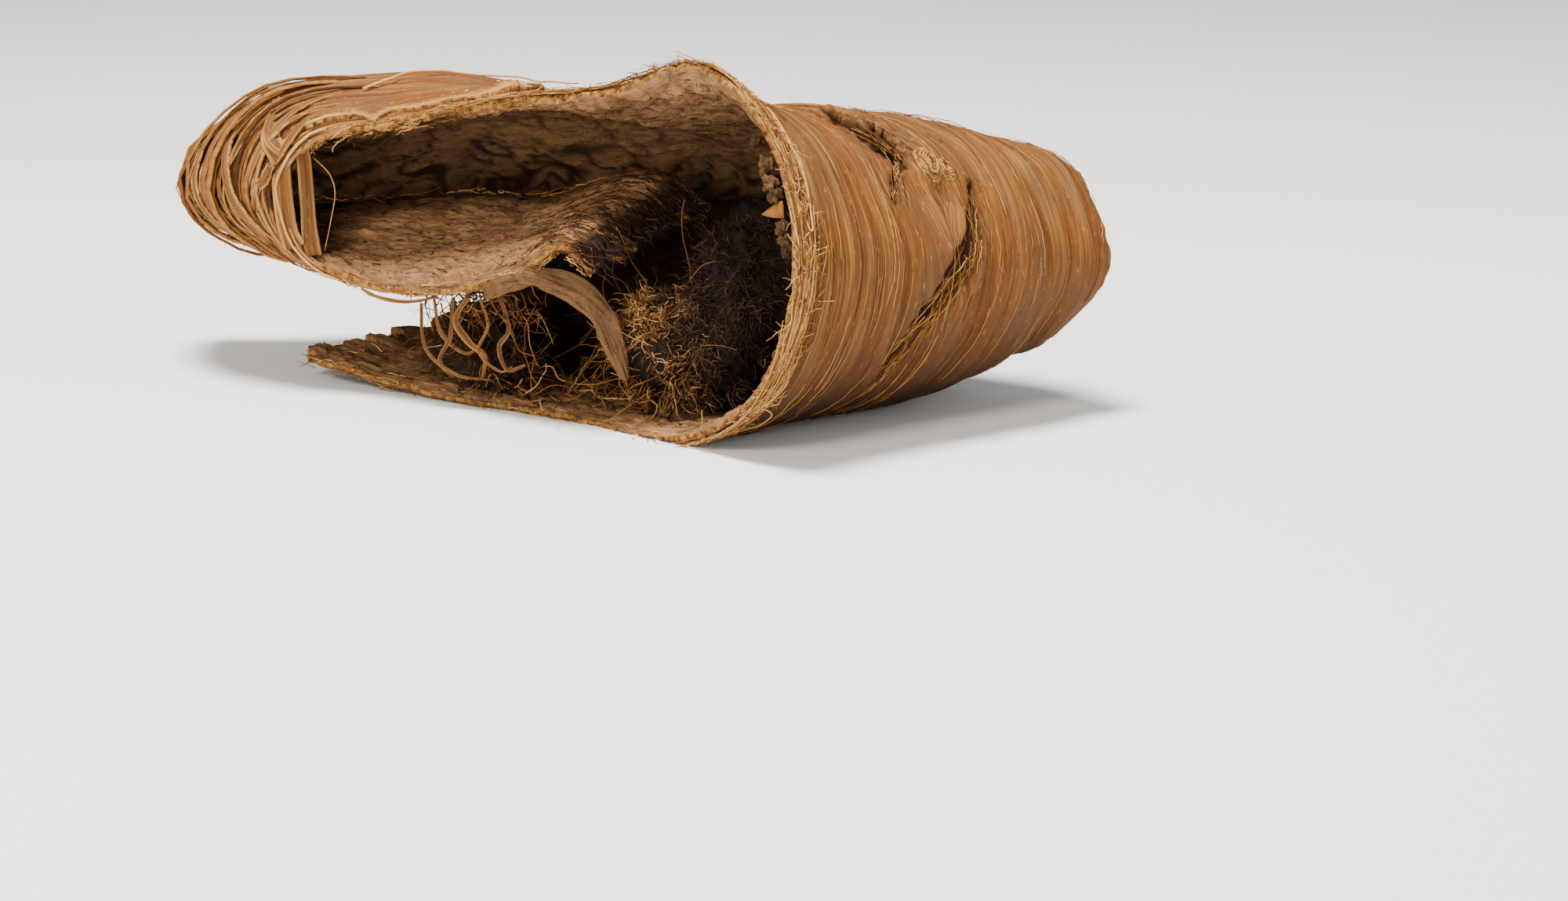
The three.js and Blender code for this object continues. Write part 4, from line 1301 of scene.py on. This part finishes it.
# %% Heap the shreds
rng = np.random.default_rng(53)
HEAPS = [
    # name, centre and radii in millimetres, tufts, fibres in each, length, finish, tint, curl
    ("golden_shreds", (-15.5, 14.5, 12), (12, 11, 10.5), 80, 34, (1.8, 5), GOLDEN_FIBRE, (-0.1, 0.95), 1.1),
    ("mixed_shreds", (-8, 20, 15), (13, 12, 12), 54, 34, (1.8, 5), DARK_FIBRE, (-0.2, 0.8), 1.0),
    ("dark_shreds", (-1, 21, 24), (11, 11, 13), 72, 34, (1.6, 4.6), DARK_FIBRE, (0.1, 1.0), 1.0),
    ("back_shreds", (-14, 33, 26), (12, 9, 12), 16, 30, (1.6, 4.6), DARK_FIBRE, (0.2, 1.0), 1.0),
    ("fringe_shreds", (-54, 1, 7.5), (14, 8, 7), 34, 26, (2.5, 8), GOLDEN_FIBRE, (0.4, 1.3), 1.0),
]


def ball(name, centre, radii, bumps, rows, columns, seed, material, shade):
    """A closed, uneven ball as a piece."""
    polar, turn = np.meshgrid(
        np.linspace(0, np.pi, rows), np.linspace(0, 2 * np.pi, columns, endpoint=False), indexing="ij")
    way = np.stack([np.sin(polar) * np.cos(turn), np.sin(polar) * np.sin(turn), np.cos(polar)], -1)
    reach = 1 + bumps * noise(way[..., 0] * 2.6 + seed, way[..., 1] * 2.6 + way[..., 2] * 3.4)
    reach = reach + 0.5 * bumps * noise(way[..., 0] * 8 + way[..., 2] * 5 + seed, way[..., 1] * 8)
    reach[0], reach[-1] = reach[0].mean(), reach[-1].mean()
    i, j = np.meshgrid(np.arange(rows - 1), np.arange(columns), indexing="ij")
    a, b = i * columns + j, i * columns + (j + 1) % columns
    faces = np.stack([a, a + columns, b + columns, b], -1).reshape(-1, 4)
    where = np.stack([polar * radii[0] + seed, turn * radii[1], 0 * turn], -1) * MM
    points = np.array(centre) + way * reach[..., None] * np.array(radii)
    make_piece(name, points, faces, [material], where, 0 * polar, shade + 0 * polar)


def heap_tufts(centre, radii, tufts, each, length, curl):
    """Small tufts over a heap: in each, fibres fan out from one root. Each tuft has its own shade."""
    way = unit(rng.normal(size=(tufts, 3)) + np.array([0, -0.35, 0.2]))
    roots = np.array(centre) + way * pick(rng, tufts, 0.7, 0.98)[:, None] * np.array(radii)
    lean = unit(way + 0.8 * rng.normal(size=(tufts, 3)))
    count = tufts * each
    roots = np.repeat(roots, each, 0) + 0.9 * rng.normal(size=(count, 3))
    heading = unit(np.repeat(lean, each, 0) + 0.75 * rng.normal(size=(count, 3)))
    size = np.repeat(pick(rng, tufts, 0.7, 1.2), each)
    paths, outs = grow(rng, roots, heading, pick(rng, count, *length) * size, curl, stops=6, droop=0.5)
    return paths, outs, np.repeat(rng.uniform(-0.2, 0.2, tufts), each)


for name, centre, radii, tufts, each, length, material, tint, curl in HEAPS:
    # the core is painted dark as the shade deep inside the heap
    ball(name + "_core", centre, np.array(radii) * 0.8, 0.16, 40, 56, centre[0], DARK_FIBRE, 1.1)
    paths, outs, shift = heap_tufts(centre, radii, tufts, each, length, curl)
    lay(name, rng, paths, outs, (0.07, 0.17), material, tint, flat=0.7, shift=shift)

# %% [markdown]
# Flat straps hang under the inner arm. The broad one that curves down in the middle of the mouth is
# crust, and so is the short one where it starts; the others are narrow strips of bast.

# %% Let flat straps hang under the inner arm
INNER_STRAPS = [
    # points in millimetres among the stations, the half width and the shade
    ([(-28, -9.5, 26.5), (-24, -7.5, 25.6), (-20, -3.5, 23.4), (-16.6, -0.9, 19.5), (-14.6, -0.2, 15),
      (-13.2, 1.6, 8.5)], 2.4, 0.5),
    ([(-37, -11.5, 21.5), (-34, -10.5, 23.3), (-30, -9, 24.6), (-25.5, -8.3, 25.6)], 1.6, 0.5),
    ([(-61, -21, 20.5), (-58, -19.5, 19.2), (-54.5, -15.6, 18.4), (-50, -12, 19.4)], 0.3, 0.4),
    ([(-44.4, -9.6, 20), (-46.6, -10.8, 15.6), (-44, -9.8, 11.8), (-41, -8.6, 9.6), (-42.2, -8.2, 5.6)],
     0.6, 0.4),
    ([(-50.6, -12.6, 19), (-49.4, -12, 13), (-45, -9.4, 9.6), (-43, -8, 11.4)], 0.3, 0.5),
    ([(-41.5, -9, 20), (-39.6, -8.8, 15.4), (-42, -9.2, 10.4), (-37.8, -7.6, 7.2), (-35, -7, 8.4)],
     0.25, 0.35),
    ([(-53.2, -13.6, 18), (-52.6, -13, 9.6), (-47, -10.4, 5.6), (-40.6, -7.6, 5.2)], 0.3, 0.5),
    ([(-36, -8.6, 21), (-34.6, -8, 15), (-37.2, -8.2, 11.8), (-35.6, -7.6, 7.8), (-32, -6.4, 9)], 0.4, 0.5),
    ([(-47, -11, 19.6), (-47.8, -11.4, 12), (-50, -12, 8), (-48, -10.6, 5)], 0.35, 0.55),
]
ROUGH_STRAPS = 2  # the first ones are broad and covered with crust
FACE_AT_ROOT, FACE_AT_TIP = np.array([0.6, -0.7, 0.5]), np.array([0.9, -0.3, -0.1])
for index, (marks, half, shade) in enumerate(INNER_STRAPS):
    turned = np.linspace(0, 1, 40)[:, None]
    face = unit(FACE_AT_ROOT * (1 - turned) + FACE_AT_TIP * turned)
    finish = ROUGH_CRUST if index < ROUGH_STRAPS else SMOOTH_BAST
    path = curve_through(marks, 40)
    ribbon(f"inner_strap_{index + 1}", path, face, half, index + 20, finish, shade, tip=0.6)

# %% [markdown]
# Some shreds are longer: they trail from the golden heap and from under the inner arm, and cross
# the floor of the mouth.

# %% Trail the long shreds
rng = np.random.default_rng(57)
FLOOR_HEIGHT = 1.6  # of the rough face where the lower arm lies on the ground
for label, count, low, high, heading, length, tint in (
    ("trailing_shreds", 130, (-30, 6, 4), (-8, 16, 20), (-0.3, -0.6, -0.4), (6, 15), (0.0, 0.9)),
    ("hanging_shreds", 150, (-62, -9, 16), (-34, 2, 22), (0.3, 0.1, -0.9), (4, 12), (0.1, 1.0)),
    ("floor_shreds", 130, (-60, -6, 2.6), (-22, 10, 4), (0.6, -0.2, 0.1), (5, 13), (0.1, 1.0)),
):
    roots = rng.uniform(low, high, (count, 3))
    way = unit(np.array(heading) + 0.75 * rng.normal(size=(count, 3)))
    paths, outs = grow(rng, roots, way, pick(rng, count, *length), 1.1, stops=12, droop=0.3)
    paths[..., 2] = np.maximum(paths[..., 2], FLOOR_HEIGHT)
    lay(label, rng, paths, outs, (0.1, 0.24), GOLDEN_FIBRE, tint, flat=0.7)

# %% Hang loose hairs in the mouth
LOOSE_HAIRS = [
    # points in millimetres among the stations, the half width, and whether it is a pale one
    ([(-79, -18.9, 42.2), (-76.8, -16.7, 39), (-75.7, -16.3, 36), (-75.2, -17.6, 31), (-76, -18.6, 25.2)],
     0.13, True),
    ([(-6, 9, 40), (-8, 10, 37), (-9, 11, 33), (-8.5, 12, 28), (-9, 13, 24)], 0.12, False),
    ([(-22, 4, 33), (-21, 5, 29), (-22.5, 6, 25), (-21.5, 7, 22)], 0.09, False),
    ([(-20, 5, 34), (-18, 5, 31.5), (-18.5, 7, 28), (-16.5, 8, 25)], 0.08, False),
    ([(2, 6, 16), (6, 7, 16.4), (9.5, 8, 16)], 0.09, False),
    ([(8, 1.5, 1.5), (8.3, 1.2, 4), (7.9, 1.4, 6.2)], 0.12, True),
    ([(3, 3, 28), (5, 4, 30.5), (7.5, 5, 31.5)], 0.09, False),
    ([(-28, 4, 26), (-24, 4, 25.3), (-21, 5, 23.4)], 0.1, False),
]
for index, (marks, half, is_pale) in enumerate(LOOSE_HAIRS):
    path = curve_through(marks, 24)
    out = np.broadcast_to([0.3, 1, 0.1], path.shape)
    material, tint = (PALE_FIBRE, 0.35) if is_pale else (GOLDEN_FIBRE, 0.55)
    lone_fibre(f"loose_hair_{index + 1}", path, out, half, 0.6, material, tint)

# %% [markdown]
# ### Crumbs behind the near rim
#
# A few crumbs of crust cling to the inside of the near rim, and one pale flake points inwards.

# %% Stick on the crumbs
CRUMBS = [
    # along, across, height, radii in millimetres, shade
    (6.02, 0.012, -2.0, (1.4, 1.5, 2.0), 0.7), (5.86, 0.014, -2.5, (1.7, 1.6, 1.6), 0.55),
    (5.72, 0.01, -2.0, (1.3, 1.4, 1.5), 0.75), (5.42, 0.012, -2.3, (1.3, 1.2, 1.5), 0.75),
    (5.3, 0.014, -2.1, (1.5, 1.3, 1.4), 0.65), (5.2, 0.012, -1.8, (1.0, 1.1, 1.3), 0.85),
    (6.25, 0.014, -1.8, (0.9, 1.1, 1.4), 0.85), (5.1, 0.02, -1.7, (0.8, 0.9, 0.9), 0.95),
]
for index, (at, across, height, size, shade) in enumerate(CRUMBS):
    centre = place([at], [across], height)[0][0]
    ball(f"crumb_{index + 1}", centre, 0.75 * np.array(size), 0.62, 20, 26, index * 3.7, ROUGH_CRUST, shade)

# %% Point one flake inwards
root, along, side, out = (v[0] for v in place([5.58], [0.012], -1.2))
share = np.linspace(0, 1, 8)
path = root + share[:, None] * (along * 0.5 - out * 4.4)
half = 1.5 * (1 - share**1.5) + 0.08
fibre_piece("pale_flake", path[None], np.broadcast_to(side, (1, 8, 3)), half[None],
            np.full((1, 8), 0.3), PALE_FIBRE, np.array([0.75]), corners=8)

# %% [markdown]
# ## Floor and light
#
# The bark lies on a plain pale floor under soft studio light. A strong light from above gives the
# big bend its bright shoulder and leaves its underside dark. Two weaker ones from the front and
# one from the right keep the inside of the scroll readable.

# %% Lay the floor
FLOOR_REACH = 3.0
floor_mesh = bpy.data.meshes.new("floor")
corners = [(x * FLOOR_REACH, y * FLOOR_REACH, 0) for x, y in ((-1, -1), (1, -1), (1, 1), (-1, 1))]
floor_mesh.from_pydata(corners, [], [(0, 1, 2, 3)])
floor = bpy.data.objects.new("floor", floor_mesh)
bpy.context.scene.collection.objects.link(floor)
floor_finish = bpy.data.materials.new("pale_floor")
floor_finish.use_nodes = True
floor_shader = floor_finish.node_tree.nodes["Principled BSDF"]
floor_shader.inputs["Base Color"].default_value = (0.88, 0.87, 0.85, 1)
floor_shader.inputs["Roughness"].default_value = 0.9
floor_mesh.materials.append(floor_finish)
print("floor laid")

# %% Hang the lights
right = Vector((math.cos(AZIMUTH), math.sin(AZIMUTH), 0))
up = Vector((0, 0, 1))
toward = Vector((math.sin(AZIMUTH), -math.cos(AZIMUTH), 0))
MIDDLE = Vector((0, 0, 30)) * MM
LIGHTS = [
    # name, how far right, up and towards the camera, distance and size in metres, watts, colour
    ("key", (-0.1, 1.0, 0.12), 0.9, 0.3, 25, (1, 0.97, 0.92)),
    ("front_low", (-0.2, 0.12, 1.0), 1.1, 0.3, 5.5, (1, 0.96, 0.9)),
    ("front_high", (-0.45, 0.6, 1.0), 1.1, 0.25, 9.5, (1, 0.96, 0.9)),
    ("side", (0.9, 0.45, 0.4), 1.2, 0.8, 3, (1, 1, 1)),
]
for name, (rightwards, upwards, towards), distance, size, power, colour in LIGHTS:
    direction = right * rightwards + up * upwards + toward * towards
    lamp = bpy.data.lights.new(name, "AREA")
    lamp.shape, lamp.size, lamp.energy, lamp.color = "DISK", size, power, colour
    holder = bpy.data.objects.new(name, lamp)
    holder.location = MIDDLE + direction.normalized() * distance
    holder.rotation_euler = (-direction).to_track_quat("-Z", "Y").to_euler()
    bpy.context.scene.collection.objects.link(holder)
world = bpy.data.worlds.new("studio")
world.use_nodes = True
background = world.node_tree.nodes["Background"]
background.inputs["Color"].default_value = (0.95, 0.97, 1, 1)
background.inputs["Strength"].default_value = 0.33
bpy.context.scene.world = world
print("lights:", [row[0] for row in LIGHTS])
